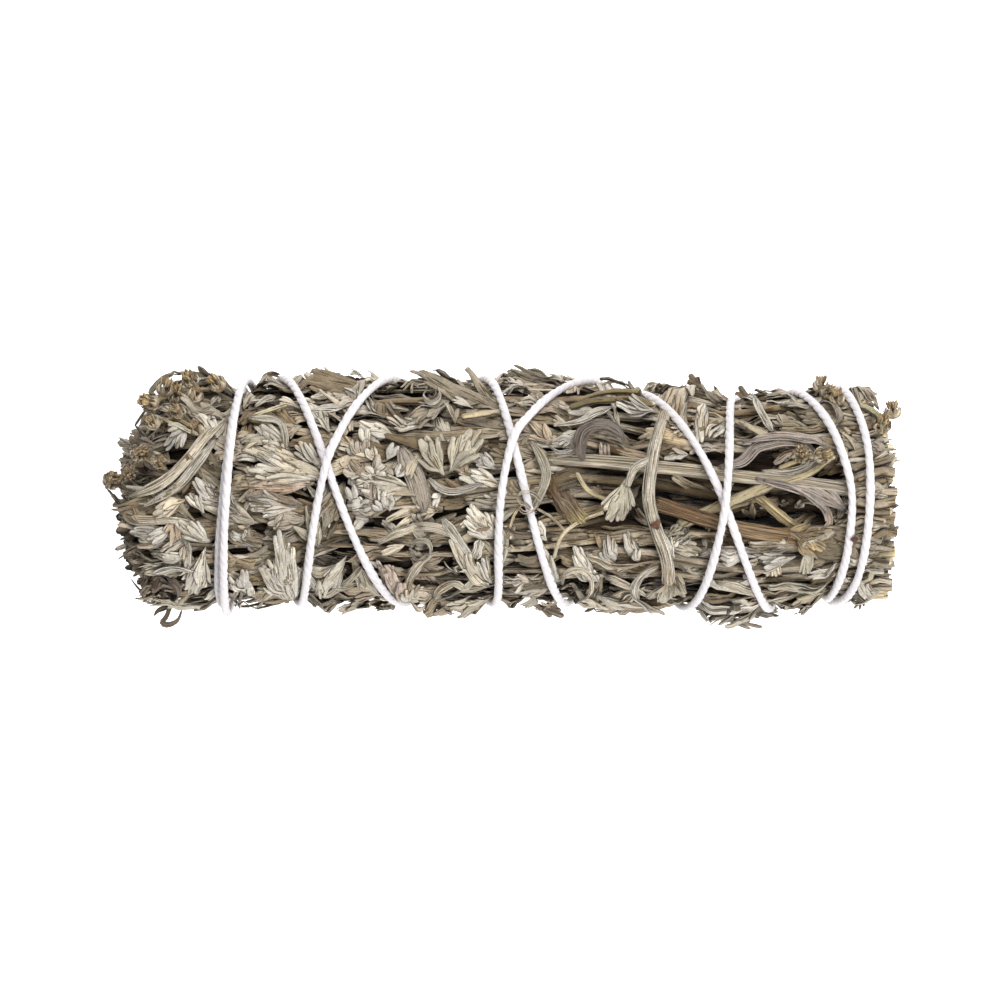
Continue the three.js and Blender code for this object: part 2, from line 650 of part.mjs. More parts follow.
// A knot of two lobes where the string's ends meet, with both ends trimmed short.
function knotSolid(grow = 0) {
  const [start, end] = [winding[0], winding[winding.length - 1]];
  const middle = (start.x + end.x) / 2;
  const distance = Math.max(start.distance, end.distance) + stringRadius / 2;
  const lobes = [-KNOT_LOBE_SHIFT, KNOT_LOBE_SHIFT].map((shift) => {
    const { x, y, z } = place(middle + shift, KNOT_TURN, distance);
    return solidOf(new THREE.IcosahedronGeometry(KNOT_LOBE_RADIUS + grow, 0).translate(x, y, z));
  });
  const tails = KNOT_TAILS.map(([along, turned]) => {
    const from = place(middle, KNOT_TURN, distance);
    const to = place(middle + along, KNOT_TURN + turned, distance);
    const tangent = to.clone().sub(from).normalize();
    return tube([from, to].map((centre) => frameAt(centre, tangent, stringRadius + grow)));
  });
  return joined([...lobes, ...tails]);
}

// The forked stem and the flower sprays

function forkedStemSolid() {
  const { way, radii, branch, branchRadii, fans, fanDistance } = FORKED_STEM;
  const random = randomSource(41);
  const leaves = fans.map(([x, y, heading, length, lobes]) => laidLeaf(fanLeaf(lobes, length, random), {
    x, turn: turnAbove(x, y, fanDistance), distance: fanDistance, heading, hold: (_, turn) => turn,
    faces: (_, turn, share) => [fanDistance + 0.2 * share, fanDistance + 0.2 * share - LEAF_THICKNESS],
  }));
  return joined([tube(stemFrames(way, radii, 9)), tube(stemFrames(branch, branchRadii, 3)), ...leaves]);
}

// The room that the forked stem and its fans take out of the leaves they lie among.
function forkedStemRoom() {
  const { way, radii, branch, branchRadii, fans, fanDistance, fanRoom } = FORKED_STEM;
  const rooms = fans.map(([x, y, heading, length]) => {
    const [root, tip] = [0.1 * length + fanRoom, 0.52 * length + fanRoom];
    const outline = [[-fanRoom, -root], [length, -tip], [length, tip], [-fanRoom, root]];
    return laidLeaf({ outline, inside: [], triangles: [[0, 1, 2], [0, 2, 3]], length }, {
      x, turn: turnAbove(x, y, fanDistance), distance: fanDistance, heading, hold: (_, turn) => turn,
      faces: () => [OUTER_SPRIG_REACH, fanDistance - LEAF_THICKNESS - GAP],
    });
  });
  return [channel(stemFrames(way, radii, 9)), channel(stemFrames(branch, branchRadii, 3)), ...rooms];
}

function flowerSpraySolid({ way, heads }, grow = 0) {
  const twig = tube(stemFrames(way, [TWIG_RADIUS + grow, TWIG_RADIUS + grow], 2), 4);
  const curve = new THREE.CatmullRomCurve3(way.map(placeAbove));
  const buds = heads.map(([share, [dx, dy, rise]]) => {
    const spot = curve.getPointAt(share);
    const outward = new THREE.Vector3(0, spot.y, spot.z - AXIS_HEIGHT).normalize();
    spot.add(new THREE.Vector3(dx, dy, 0)).addScaledVector(outward, rise);
    return solidOf(new THREE.IcosahedronGeometry(HEAD_RADIUS + grow, 0).translate(spot.x, spot.y, spot.z));
  });
  return joined([twig, ...buds]);
}

// The whole stick

const stick = new THREE.Group();
const stemColours = { long_stem: COLOURS.stem, brown_stem: COLOURS.brown, broken_stub: COLOURS.brown,
  crossing_stem_1: COLOURS.green, crossing_stem_2: COLOURS.green };

const stringSolid = tube(stringFrames()).add(knotSolid());
const cutters = [
  channel(stringFrames()), knotSolid(GAP), ...forkedStemRoom(),
  ...Object.values(BARE_STEMS).map(({ way, radii }) => channel(stemFrames(way, radii))),
  ...FLOWER_SPRAYS.map((spray) => flowerSpraySolid(spray, GAP)),
];

stick.add(meshOf('cotton_string', stringSolid, COLOURS.string));
stick.add(meshOf('forked_stem', forkedStemSolid(), COLOURS.stem));
for (const [name, { way, radii }] of Object.entries(BARE_STEMS)) {
  stick.add(meshOf(name, tube(stemFrames(way, radii)), stemColours[name]));
}
FLOWER_SPRAYS.forEach((spray, index) => {
  stick.add(meshOf(`flower_spray_${index + 1}`, flowerSpraySolid(spray), COLOURS.flowers));
});
for (let index = 0; index < OUTER_SPRIGS; index += 1) {
  stick.add(meshOf(`leafy_sprig_${index + 1}`, outerSprig(index, cutters), COLOURS.leaves[index]));
}
for (let index = 0; index < INNER_SPRIGS; index += 1) {
  stick.add(meshOf(`inner_sprig_${index + 1}`, innerSprig(index), COLOURS.inner));
}

export default stick;
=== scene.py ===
import math

import bpy
import numpy as np
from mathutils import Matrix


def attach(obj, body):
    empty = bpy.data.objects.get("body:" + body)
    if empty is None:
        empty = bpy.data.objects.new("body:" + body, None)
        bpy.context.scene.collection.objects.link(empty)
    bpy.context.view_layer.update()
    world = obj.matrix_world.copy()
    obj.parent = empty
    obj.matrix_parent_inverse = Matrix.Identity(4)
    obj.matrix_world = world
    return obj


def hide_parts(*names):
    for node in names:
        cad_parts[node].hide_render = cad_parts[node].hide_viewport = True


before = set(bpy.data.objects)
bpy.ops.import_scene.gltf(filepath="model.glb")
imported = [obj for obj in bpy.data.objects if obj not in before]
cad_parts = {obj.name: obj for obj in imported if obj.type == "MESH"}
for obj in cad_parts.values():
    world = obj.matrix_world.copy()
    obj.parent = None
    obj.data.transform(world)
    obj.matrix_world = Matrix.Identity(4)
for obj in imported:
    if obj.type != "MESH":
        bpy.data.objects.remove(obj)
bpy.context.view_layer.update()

# ----------------------------------------------------------------------------------------------------------
# The studio. The stick lies on a plain white table, and the camera looks straight down on it. A large soft
# light hangs above its back edge, a smaller one in front of it, and the room is white.

MM = 0.001
LENS = 200
SENSOR = 36
NEAREST = 0.01
FRAME_WIDTH = 130 * MM  # what the picture shows across, at the height FRAME_PLANE
FRAME_PLANE = 15 * MM
FRAME_MIDDLE = -0.67 * MM
SOFT_LIGHTS = [  # size, watts, place
    (0.40, 4.05, (0.06, 0.30, 0.50)),
    (0.30, 3.2, (0.26, -0.32, 0.42)),
]
ROOM_LIGHT = 0.36
TABLE_HALF = 1.6
TABLE_GLOW = 0.8

lens = bpy.data.cameras.new("camera")
lens.lens = LENS
lens.sensor_width = SENSOR
lens.clip_start = NEAREST
camera = bpy.data.objects.new("camera", lens)
camera.location = (0, FRAME_MIDDLE, FRAME_PLANE + FRAME_WIDTH * LENS / SENSOR)
bpy.context.scene.collection.objects.link(camera)
bpy.context.scene.camera = camera
bpy.context.scene.view_settings.view_transform = "Standard"

for size, watts, spot in SOFT_LIGHTS:
    area = bpy.data.lights.new("soft light", "AREA")
    area.size = size
    area.energy = watts
    light = bpy.data.objects.new("soft light", area)
    light.location = spot
    aim = np.array(spot) / np.linalg.norm(spot)
    light.rotation_euler = (math.acos(aim[2]), 0, math.atan2(aim[1], aim[0]) + math.pi / 2)
    bpy.context.scene.collection.objects.link(light)


def linear(code):
    """The linear colour of a hex code."""
    values = [int(code[at:at + 2], 16) / 255 for at in (1, 3, 5)]
    return tuple(v / 12.92 if v <= 0.04045 else ((v + 0.055) / 1.055) ** 2.4 for v in values)


class Shade:
    """A value or colour on its way through a material, with arithmetic on it."""

    def __init__(self, tree, socket=None):
        self.tree = tree
        self.socket = socket

    def node(self, kind, settings=(), sockets=(), output=0):
        """One output of a new node, after its settings and its sockets' values or links."""
        made = self.tree.nodes.new(kind)
        for name, value in dict(settings).items():
            setattr(made, name, value)
        for name, value in dict(sockets).items():
            if isinstance(value, Shade):
                self.tree.links.new(value.socket, made.inputs[name])
            else:
                made.inputs[name].default_value = value
        return Shade(self.tree, made.outputs[output])

    def joined(self, operation, first, second):
        """A Math node's result, or a Vector Math node's where one of the two is a colour or a vector."""
        pair = [first, second]
        if any(isinstance(one, Shade) and one.socket.type != "VALUE" for one in pair):
            pair = [(one,) * 3 if isinstance(one, (int, float)) else one for one in pair]
            return self.node("ShaderNodeVectorMath", {"operation": operation}, {0: pair[0], 1: pair[1]})
        return self.node("ShaderNodeMath", {"operation": operation}, {0: pair[0], 1: pair[1]})

    def __add__(self, other):
        return self.joined("ADD", self, other)

    __radd__ = __add__

    def __sub__(self, other):
        return self.joined("SUBTRACT", self, other)

    def __rsub__(self, other):
        return self.joined("SUBTRACT", other, self)

    def __mul__(self, other):
        return self.joined("MULTIPLY", self, other)

    __rmul__ = __mul__

    def between(self, low, high):
        """A colour that goes from low to high as this value goes from 0 to 1."""
        pair = {6: low, 7: high}
        for name, value in pair.items():
            if not isinstance(value, Shade):
                pair[name] = (*value, 1)
        return self.node("ShaderNodeMix", {"data_type": "RGBA"}, {0: self, **pair}, 2)

    def step(self, start, end, low=0.0, high=1.0):
        """This value's smooth rise from low at start to high at end."""
        return self.node("ShaderNodeMapRange", {"interpolation_type": "SMOOTHSTEP"}, {
            "Value": self, "From Min": start, "From Max": end, "To Min": low, "To Max": high})


def new_finish(name, **fixed):
    """A material with one Principled shader, its fixed values set, and a Shade to start from."""
    made = bpy.data.materials.new(name)
    made.use_nodes = True
    shader = made.node_tree.nodes["Principled BSDF"]
    for socket, value in fixed.items():
        shader.inputs[socket.replace("_", " ")].default_value = value
    return made, Shade(made.node_tree), shader


def feed(shader, **shades):
    """Links each Shade to the shader's socket of that name."""
    for socket, shade in shades.items():
        shade.tree.links.new(shade.socket, shader.inputs[socket.replace("_", " ")])


room = bpy.data.worlds.new("white room")
room.use_nodes = True
room.node_tree.nodes["Background"].inputs["Color"].default_value = (1, 1, 1, 1)
room.node_tree.nodes["Background"].inputs["Strength"].default_value = ROOM_LIGHT
bpy.context.scene.world = room

table_mesh = bpy.data.meshes.new("table")
corners = [(TABLE_HALF * x, TABLE_HALF * y, 0) for x, y in ((-1, -1), (1, -1), (1, 1), (-1, 1))]
table_mesh.from_pydata(corners, [], [(0, 1, 2, 3)])
table = bpy.data.objects.new("table", table_mesh)
bpy.context.scene.collection.objects.link(table)
table_finish, start, shader = new_finish("lit white table", Specular_IOR_Level=0.2,
                                        Emission_Color=(1, 1, 1, 1), Emission_Strength=TABLE_GLOW)
clouding = start.node("ShaderNodeTexNoise", {}, {"Scale": 6.0, "Detail": 3.0})
feed(shader, Base_Color=clouding.between(linear("#f4f4f4"), linear("#f8f8f8")),
     Roughness=clouding * 0.1 + 0.7)
table_mesh.materials.append(table_finish)

# ----------------------------------------------------------------------------------------------------------
# The inner sprigs: four dried wormwood sprigs laid the same way, leaf tips at -X and cut stems at +X. They
# are the middle of the bundle, so only their leaf tips and cut ends show.
#
# A place in the bundle is an x, a turn round its axis and a distance from its axis, all in millimetres and
# degrees. A turn of 0 faces up, 90 faces +Y, -90 faces -Y and 180 faces down.

AXIS_HEIGHT = 14.6
AXIS_ASIDE = 0.5
SAG = (-1.4, 31, 9)  # how far the bundle bends to -Y, at which x, over what width
# how far from the axis the leaves lie, at each x
LEAF_BED_X = [-52, -50, -48, -46, -43.5, -40, 10, 30, 38, 44, 52]
LEAF_BED = [4, 7, 9.6, 11.6, 12.9, 13.3, 13.3, 13, 12.6, 12.2, 12]


def sag(x):
    """How far the axis lies aside at an x."""
    depth, middle, width = SAG
    return depth * np.exp(-((x - middle) / width) ** 2)


def outward(turn):
    """The way out from the axis at a turn."""
    angle = np.radians(turn)
    return np.stack([0 * angle, np.sin(angle), np.cos(angle)], axis=-1)


def to_space(x, turn, distance):
    """The point in space of a place in the bundle."""
    x, turn, distance = np.broadcast_arrays(x, turn, distance)
    middle = np.stack([x, AXIS_ASIDE + sag(x), 0 * x + AXIS_HEIGHT], axis=-1)
    return middle + outward(turn) * distance[..., None]


def smooth(value, start, end):
    """A smooth rise from 0 at start to 1 at end."""
    share = np.clip((value - start) / (end - start), 0, 1)
    return share * share * (3 - 2 * share)


def unit(vectors):
    """The same vectors at a length of 1."""
    return vectors / np.maximum(np.linalg.norm(vectors, axis=-1, keepdims=True), 1e-9)


LEAF_SECTION = np.array([(-1, -0.2), (-0.8, 0.7), (0, 1), (0.8, 0.7), (1, -0.2)])  # (across, up)


def round_section(sides, ridge=0.0):
    """The section across a stem or a thread, with every other corner a ridge's depth lower."""
    angle = -2 * np.pi * np.arange(sides) / sides
    radius = 1 - ridge * (np.arange(sides) % 2)
    return np.stack([radius * np.cos(angle), radius * np.sin(angle)], axis=-1)


TABLE_EASE = 0.4  # how far above the table a low leaf starts to flatten against it
# Painted shade: points that lie deeper below the leaf bed are darkened and warmed in their colour, as shade
# between the leaves.
DEEP_SHADE_DEPTH = (1.0, 4.4)  # how far in between the leaves the painted shade starts, and reaches its full strength
DEEP_SHADE_X = (-47, -42, 45, 48)  # where the painted shade starts and reaches full strength, and where it thins out and ends
DEEP_SHADE = 0.84
DEEP_SHADE_WARMTH = np.array([1, 1.15, 1.42])
CUT_FACE = [(0.04, 0.92), (0.02, 0.55), (-0.1, 0.26)]  # rings of a cut stem's face: how far out, how wide
PITH_HOLLOW = 0.2  # how far its middle lies back
TIP_CROWN = 0.6  # how much a strip's tip counts as its raised middle, where no painted shade lies
GRAIN_RISE = 0.6  # how far the grain moves from a strip's edge to its top
GRAIN_STEP = 3.7  # from one strip's grain to the next one's
GRAINS = 900

rng = np.random.default_rng(11)


class Cuttings:
    """The closed leaf strips, stems and threads of one piece, gathered into one mesh."""

    def __init__(self):
        self.points, self.faces, self.tints, self.grains = [], [], [], []
        self.count = 0

    def add(self, path, up, half, thick, tint, section=LEAF_SECTION, cut=False, seed=None):
        """Closed strips along the rows of path. The first and last point of a row are its two tips.

        A strip faces up, with its half width and its thickness at each point. A cut one ends in a flat face.
        The seed moves its grain, so that no two strips have the same one.
        """
        seed = rng.uniform(0, GRAINS) if seed is None else seed
        path = np.asarray(path, float)
        half = np.broadcast_to(half, path.shape[:2])
        thick = np.broadcast_to(thick, path.shape[:2])
        tint = np.broadcast_to(tint, path.shape)
        up = np.broadcast_to(up, path.shape)
        if cut:
            path = np.concatenate([path, 2 * path[:, -1:] - path[:, -2:-1]], 1)
            half, thick, tint, up = (np.concatenate([one, one[:, -1:]], 1)
                                     for one in (half, thick, tint, up))
        rows, stations, _ = path.shape
        along = unit(np.gradient(path, axis=1))
        side = unit(np.cross(along, up))
        up = np.cross(side, along)
        length = np.cumsum(np.linalg.norm(np.diff(path, axis=1, prepend=path[:, :1]), axis=-1), axis=1)
        middles, sides, ups = path[:, 1:-1], side[:, 1:-1], up[:, 1:-1]
        halves, thicks, lengths, tints = half[:, 1:-1], thick[:, 1:-1], length[:, 1:-1], tint[:, 1:-1]
        last = path[:, -1]
        if cut:
            reach = halves[:, -1]
            for out, share in CUT_FACE:
                middle = path[:, -2] + along[:, -2] * (out * reach)[:, None]
                middles, sides, ups, halves, thicks, lengths, tints = (
                    np.concatenate(pair, 1) for pair in (
                        (middles, middle[:, None]), (sides, side[:, -2:-1]), (ups, up[:, -2:-1]),
                        (halves, share * half[:, -2:-1]), (thicks, share * thick[:, -2:-1]),
                        (lengths, length[:, -2:-1]), (tints, tint[:, -1:])))
            last = path[:, -2] - along[:, -2] * (PITH_HOLLOW * reach)[:, None]
        # the rings of points along each row, then its two tips
        corners = len(section)
        across, rise = section[:, 0], section[:, 1]
        rings = (middles[:, :, None] + sides[:, :, None] * (halves[..., None] * across)[..., None]
                 + ups[:, :, None] * (thicks[..., None] * rise)[..., None])
        count = rings.shape[1]
        points = np.concatenate([rings.reshape(rows, -1, 3), path[:, :1], last[:, None]], 1)
        # the colour, with how high a point lies in the section as its alpha, and the grain
        crown = np.broadcast_to(np.clip(rise, 0, 1), (rows, count, corners)).copy()
        crown[:, count - (len(CUT_FACE) if cut else 0):] = 1
        ring_tint = np.concatenate([np.broadcast_to(tints[:, :, None], (rows, count, corners, 3)),
                                    crown[..., None]], -1).reshape(rows, -1, 4)
        tip_tint = np.stack([tint[:, 0], tint[:, -1]], 1)
        tip_tint = np.concatenate([tip_tint, np.full((rows, 2, 1), TIP_CROWN)], -1)
        seeds = seed + GRAIN_STEP * np.arange(rows)[:, None]
        ring_grain = np.stack(np.broadcast_arrays(
            lengths[..., None], halves[..., None] * across + GRAIN_RISE * rise, seeds[..., None]), -1)
        tip_grain = np.stack([np.stack([length[:, at], 0 * length[:, at], seeds[:, 0]], -1)
                              for at in (0, -1)], 1)
        # the faces between the rings, and those that close the tips
        ring, corner = np.meshgrid(np.arange(count - 1), np.arange(corners), indexing="ij")
        a = (ring * corners + corner).ravel()
        b = (ring * corners + (corner + 1) % corners).ravel()
        spin = np.arange(corners)
        turn = (spin + 1) % corners
        end = (count - 1) * corners
        first_tip, last_tip = count * corners, count * corners + 1
        faces = np.concatenate([
            np.stack([a, b, b + corners], -1), np.stack([a, b + corners, a + corners], -1),
            np.stack([0 * spin + first_tip, turn, spin], -1),
            np.stack([0 * spin + last_tip, end + spin, end + turn], -1)])
        per_row = count * corners + 2
        starts = self.count + per_row * np.arange(rows)
        self.points.append(points.reshape(-1, 3))
        self.faces.append((faces[None] + starts[:, None, None]).reshape(-1, 3))
        self.tints.append(np.concatenate([ring_tint, tip_tint], 1).reshape(-1, 4))
        self.grains.append(np.concatenate([ring_grain.reshape(rows, -1, 3), tip_grain], 1).reshape(-1, 3))
        self.count += per_row * rows

    def piece(self, name, finish, node, slot, deep_shaded=False):
        """The piece itself, in metres, in the place of its CAD node. A deep-shaded piece gets painted shade
        that darkens it deeper inside.
        """
        points = np.concatenate(self.points)
        tints = np.concatenate(self.tints)
        if deep_shaded:
            # painted shade, darker and warmer the deeper a point lies below the leaf bed
            x = points[:, 0]
            depth = np.interp(x, LEAF_BED_X, LEAF_BED) - np.hypot(points[:, 1] - AXIS_ASIDE - sag(x),
                                                                  points[:, 2] - AXIS_HEIGHT)
            deep_shading = DEEP_SHADE * smooth(depth, *DEEP_SHADE_DEPTH) * smooth(x, *DEEP_SHADE_X[:2]) * (1 - smooth(x, *DEEP_SHADE_X[2:]))
            tints[:, :3] *= (1 - deep_shading[:, None]) ** DEEP_SHADE_WARMTH
        low = points[:, 2] < TABLE_EASE
        points[low, 2] = TABLE_EASE * np.exp(points[low, 2] / TABLE_EASE - 1)
        points *= MM
        faces = np.concatenate(self.faces)
        mesh = bpy.data.meshes.new(name)
        mesh.vertices.add(len(points))
        mesh.vertices.foreach_set("co", points.astype(np.float32).ravel())
        mesh.loops.add(3 * len(faces))
        mesh.loops.foreach_set("vertex_index", faces.astype(np.int32).ravel())
        mesh.polygons.add(len(faces))
        mesh.polygons.foreach_set("loop_start", 3 * np.arange(len(faces), dtype=np.int32))
        mesh.update(calc_edges=True)
        mesh.polygons.foreach_set("use_smooth", np.ones(len(faces), bool))
        tint = mesh.attributes.new("tint", "FLOAT_COLOR", "POINT")
        tint.data.foreach_set("color", tints.astype(np.float32).ravel())
        grain = mesh.attributes.new("grain", "FLOAT_VECTOR", "POINT")
        grain.data.foreach_set("vector", np.concatenate(self.grains).astype(np.float32).ravel())
        mesh.materials.append(finish)
        piece = bpy.data.objects.new(name, mesh)
        bpy.context.scene.collection.objects.link(piece)
        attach(piece, "root")
        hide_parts(node)
        print(name, len(faces), "triangles")


def noise(start, place, scale, detail):
    """A cloudy noise from 0 to 1 over a place."""
    return start.node("ShaderNodeTexNoise", (), {"Vector": place, "Scale": scale, "Detail": detail})


def strip_marks(start, stretch, detail):
    """A strip's tint, its grain, and the noise of its ridges, which is drawn out along it."""
    tint = start.node("ShaderNodeAttribute", {"attribute_name": "tint"})
    grain = start.node("ShaderNodeAttribute", {"attribute_name": "grain"}, (), 1)
    return tint, grain, noise(start, grain * stretch, 1.0, detail)


def leaf_finish(name, crease_shade, line):
    """Dried wormwood leaf: felted, finely ridged along its lobes, with painted shade down in the creases
    between them.
    """
    made, start, shader = new_finish(name, Specular_IOR_Level=0.2, Sheen_Weight=0.2, Sheen_Roughness=0.5)
    tint, grain, ridges = strip_marks(start, (0.3, 5.2, 1.0), 2.0)
    crown = start.node("ShaderNodeAttribute", {"attribute_name": "tint"}, (), 3)
    lines = ridges.step(0.37, 0.46)
    place = start.node("ShaderNodeTexCoord", (), (), 3)
    blotch = noise(start, grain, 0.5, 3.0)
    felt = noise(start, place, 3400.0, 2.0)
    stain = noise(start, place, 160.0, 3.0)
    worn = tint * ((blotch * 0.9 + 0.55) * (felt * 0.7 + 0.65)) * lines.between(linear(line), (1, 1, 1))
    browned = stain.step(0.52, 0.68, 0.0, 0.5).between(worn, worn * linear("#e2cfb2"))
    # painted shade lies along a strip's low edges, where its crown is small, but not on its underside
    edge = (1 - crown.step(0.1, 0.62)) * crown.step(0.0, 0.03)
    colour = edge.between(browned, browned * linear(crease_shade))
    height = ridges * 0.8 + felt * 0.3
    bump = start.node("ShaderNodeBump", (), {"Strength": 1.0, "Distance": 0.0004, "Height": height})
    feed(shader, Base_Color=colour, Roughness=ridges * 0.3 + 0.65, Normal=bump)
    return made


# the second colour is the painted shade along the strips' low edges
inner_leaf = leaf_finish("inner leaves", "#6b5a45", "#989083")

SAGE = [linear(code) for code in (
    "#bbb3a4", "#b0a797", "#c4bbad", "#a59c8b", "#b7ad9e",
    "#c7bfb2", "#9e9483", "#b3a797", "#bbb0a0", "#aca393")]
STRAW = [linear(code) for code in ("#bbaf9a", "#ab9d86", "#c4b8a3", "#9f9079", "#b3a28c")]
# the dark colours of the crushed leaf inside, painted shade that shows between the other leaves
SHADED = [linear(code) for code in ("#47392a", "#504130", "#3b2f22", "#574733")]
PITH = linear("#cdbb98")
SPINE_STEPS = 24
SHORTER = 0.3  # how much shorter than the middle lobe the outermost ones are
LEAF_THICKNESS = 0.05


def spine(points, count):
    """Points along a smooth line through the given ones, evenly spread."""
    points = np.asarray(points, float)
    padded = np.concatenate([2 * points[:1] - points[1:2], points, 2 * points[-1:] - points[-2:-1]])
    share = np.linspace(0, len(points) - 1 - 1e-6, SPINE_STEPS * len(points))
    at = share.astype(int)
    t = (share - at)[:, None]
    p0, p1, p2, p3 = (padded[at + step] for step in range(4))
    line = 0.5 * (2 * p1 + (p2 - p0) * t + (2 * p0 - 5 * p1 + 4 * p2 - p3) * t ** 2
                  + (3 * p1 - p0 - 3 * p2 + p3) * t ** 3)
    gone = np.concatenate([[0], np.cumsum(np.linalg.norm(np.diff(line[:, :3], axis=0), axis=1))])
    return np.stack([np.interp(np.linspace(0, gone[-1], count), gone, column) for column in line.T], -1)


def loose_fan(cuttings, root, tip, roll, lobes, spread, half, tint, stations=8, curl=0.1):
    """A divided leaf in the open, from its root to its middle tip, rolled about that line."""
    root, tip = np.asarray(root, float), np.asarray(tip, float)
    ahead = unit(tip - root)
    length = np.linalg.norm(tip - root)
    level = unit(np.cross(ahead, (0.1, 0.3, 0.95)))
    rise = np.cross(level, ahead)
    aside = level * math.cos(roll) + rise * math.sin(roll)
    above = np.cross(aside, ahead)
    # the lobes in the leaf's own plane, then bent out of it
    t = 1 - (1 - np.linspace(0, 1, stations)) ** 1.5
    lean = np.linspace(-1, 1, lobes) + rng.normal(0, 0.1, lobes)
    reach = length * (1 - SHORTER * lean ** 2) * rng.uniform(0.8, 1.05, lobes)
    angle = math.radians(spread) / 2 * lean
    curve = (t ** 1.25)[None] * angle[:, None]
    along = reach[:, None] * t * np.cos(curve)
    across = reach[:, None] * t * np.sin(curve)
    bend = (rng.normal(0, curl) + rng.normal(0, 0.06, (lobes, 1))) * along ** 2 / length
    bend = bend + rng.normal(0, 0.35) * np.sin(2.2 * t) ** 3
    path = root + along[..., None] * ahead + across[..., None] * aside + bend[..., None] * above
    # as wide as the room between them, with round tips
    spacing = 0.75 * math.radians(spread) / max(lobes - 1, 1) * reach[:, None] * t
    width = np.clip(spacing, 0.22, half) * np.sqrt(1 - (np.clip(t - 0.88, 0, 1) / 0.125) ** 2)
    tone = np.array(tint) * rng.uniform(0.8, 1.15, (lobes, 1, 1))
    cuttings.add(path, above, width, 0.2 * width + LEAF_THICKNESS, tone)


QUARTERS = 4
GOLDEN_TURN = 137.5
INNER_STEMS = (58, 6.5)  # how many in the four sprigs, how far from the axis they go
INNER_FOLDS = (120, 6.9)
INNER_TIPS = 15  # in each sprig
INNER_X = -46
TIP_DISTANCE = 6.6
TIP_X = (-50.2, -46.5)
CUT_X = (48.8, 50.7)  # where the stems are cut off
FOLD_CUT_X = (48.6, 50.4)
FILL_X = (-46.5, 48.2)
FILL_DISTANCE = 6.2
FILL_STATIONS = 40


def spread_evenly(quarter, count, reach, first):
    """Turns and distances of the spots that fall in one quarter, of count spread evenly over a disc."""
    number = np.arange(count) + 0.5
    turns = (GOLDEN_TURN * number + first) % 360
    own = turns // 90 == quarter
    return turns[own] + rng.normal(0, 2, own.sum()), reach * np.sqrt(number[own] / count)


for quarter in range(QUARTERS):
    sprig = Cuttings()
    middle = 90 * quarter + 45
    # the stems, cut off square at +X
    turns, distances = spread_evenly(quarter, *INNER_STEMS, 0)
    stems = len(turns)
    ends = rng.uniform(*CUT_X, stems)
    x = np.linspace(INNER_X, 0, 8)[None] + ends[:, None] * np.linspace(0, 1, 8)
    wander = rng.normal(0, 4, (stems, 8)) * np.linspace(1, 0, 8) ** 0.5
    path = to_space(x, turns[:, None] + wander, distances[:, None])
    radius = rng.uniform(0.42, 0.78, (stems, 1)) * np.linspace(0.6, 1, 8)
    bark = np.resize(STRAW, (stems, 1, 3)) * np.ones((1, 8, 1))
    bark[:, -1] = PITH
    sprig.add(path, (0, 0, 1), radius, radius, bark, section=round_section(10, 0.08), cut=True,
              seed=5 * quarter)
    # leaves folded lengthwise between them, also cut at +X
    turns, distances = spread_evenly(quarter, *INNER_FOLDS, 60)
    folds = len(turns)
    start_x = rng.uniform(36, 42, folds)[:, None]
    x = start_x + (rng.uniform(*FOLD_CUT_X, folds) - 40)[:, None] * np.linspace(0, 1, 6)
    path = to_space(x, turns[:, None] + rng.normal(0, 2, (folds, 6)), distances[:, None])
    up = unit(rng.normal(0, 1, (folds, 1, 3)))
    tint = np.resize(SAGE, (folds, 1, 3)) * rng.uniform(0.6, 1, (folds, 1, 1))
    sprig.add(path, up, rng.uniform(0.5, 1.1, (folds, 1)), 0.22, tint, seed=40 + quarter)
    # the leaf tips at -X
    for order in range(INNER_TIPS):
        turn = middle + rng.uniform(-44, 44)
        distance = TIP_DISTANCE * math.sqrt(rng.uniform(0.02, 1))
        tip_x = rng.uniform(*TIP_X)
        root = to_space(tip_x + rng.uniform(6, 9), turn, 0.9 * distance)
        tip = to_space(tip_x, turn + rng.normal(0, 8), distance + rng.uniform(0, 2))
        loose_fan(sprig, root, tip, rng.uniform(-3, 3), int(rng.integers(4, 7)), rng.uniform(45, 80),
                  rng.uniform(0.4, 0.65), SAGE[order % len(SAGE)])
    # the crumbled leaf that fills the rest, painted dark as shade
    x = np.linspace(*FILL_X, FILL_STATIONS)[None]
    reach = np.minimum(FILL_DISTANCE, np.interp(x, LEAF_BED_X, LEAF_BED) - 1.5)
    turn = middle + 0 * x
    half, thick = (share * reach * rng.uniform(0.85, 1.1, x.shape) for share in (0.45, 0.42))
    sprig.add(to_space(x, turn, 0.52 * reach), outward(turn), half, thick, SHADED[0],
              section=round_section(10), seed=0)
    sprig.piece(f"inner_leaves_{quarter + 1}", inner_leaf, f"inner_sprig_{quarter + 1}", "inner_leaves",
                deep_shaded=True)

# ----------------------------------------------------------------------------------------------------------
# The outer sprigs: eight more sprigs laid round the inner ones. Each is a few long stems with their divided
# leaves and narrow leaf strips, dried and pressed flat on each other under the string.

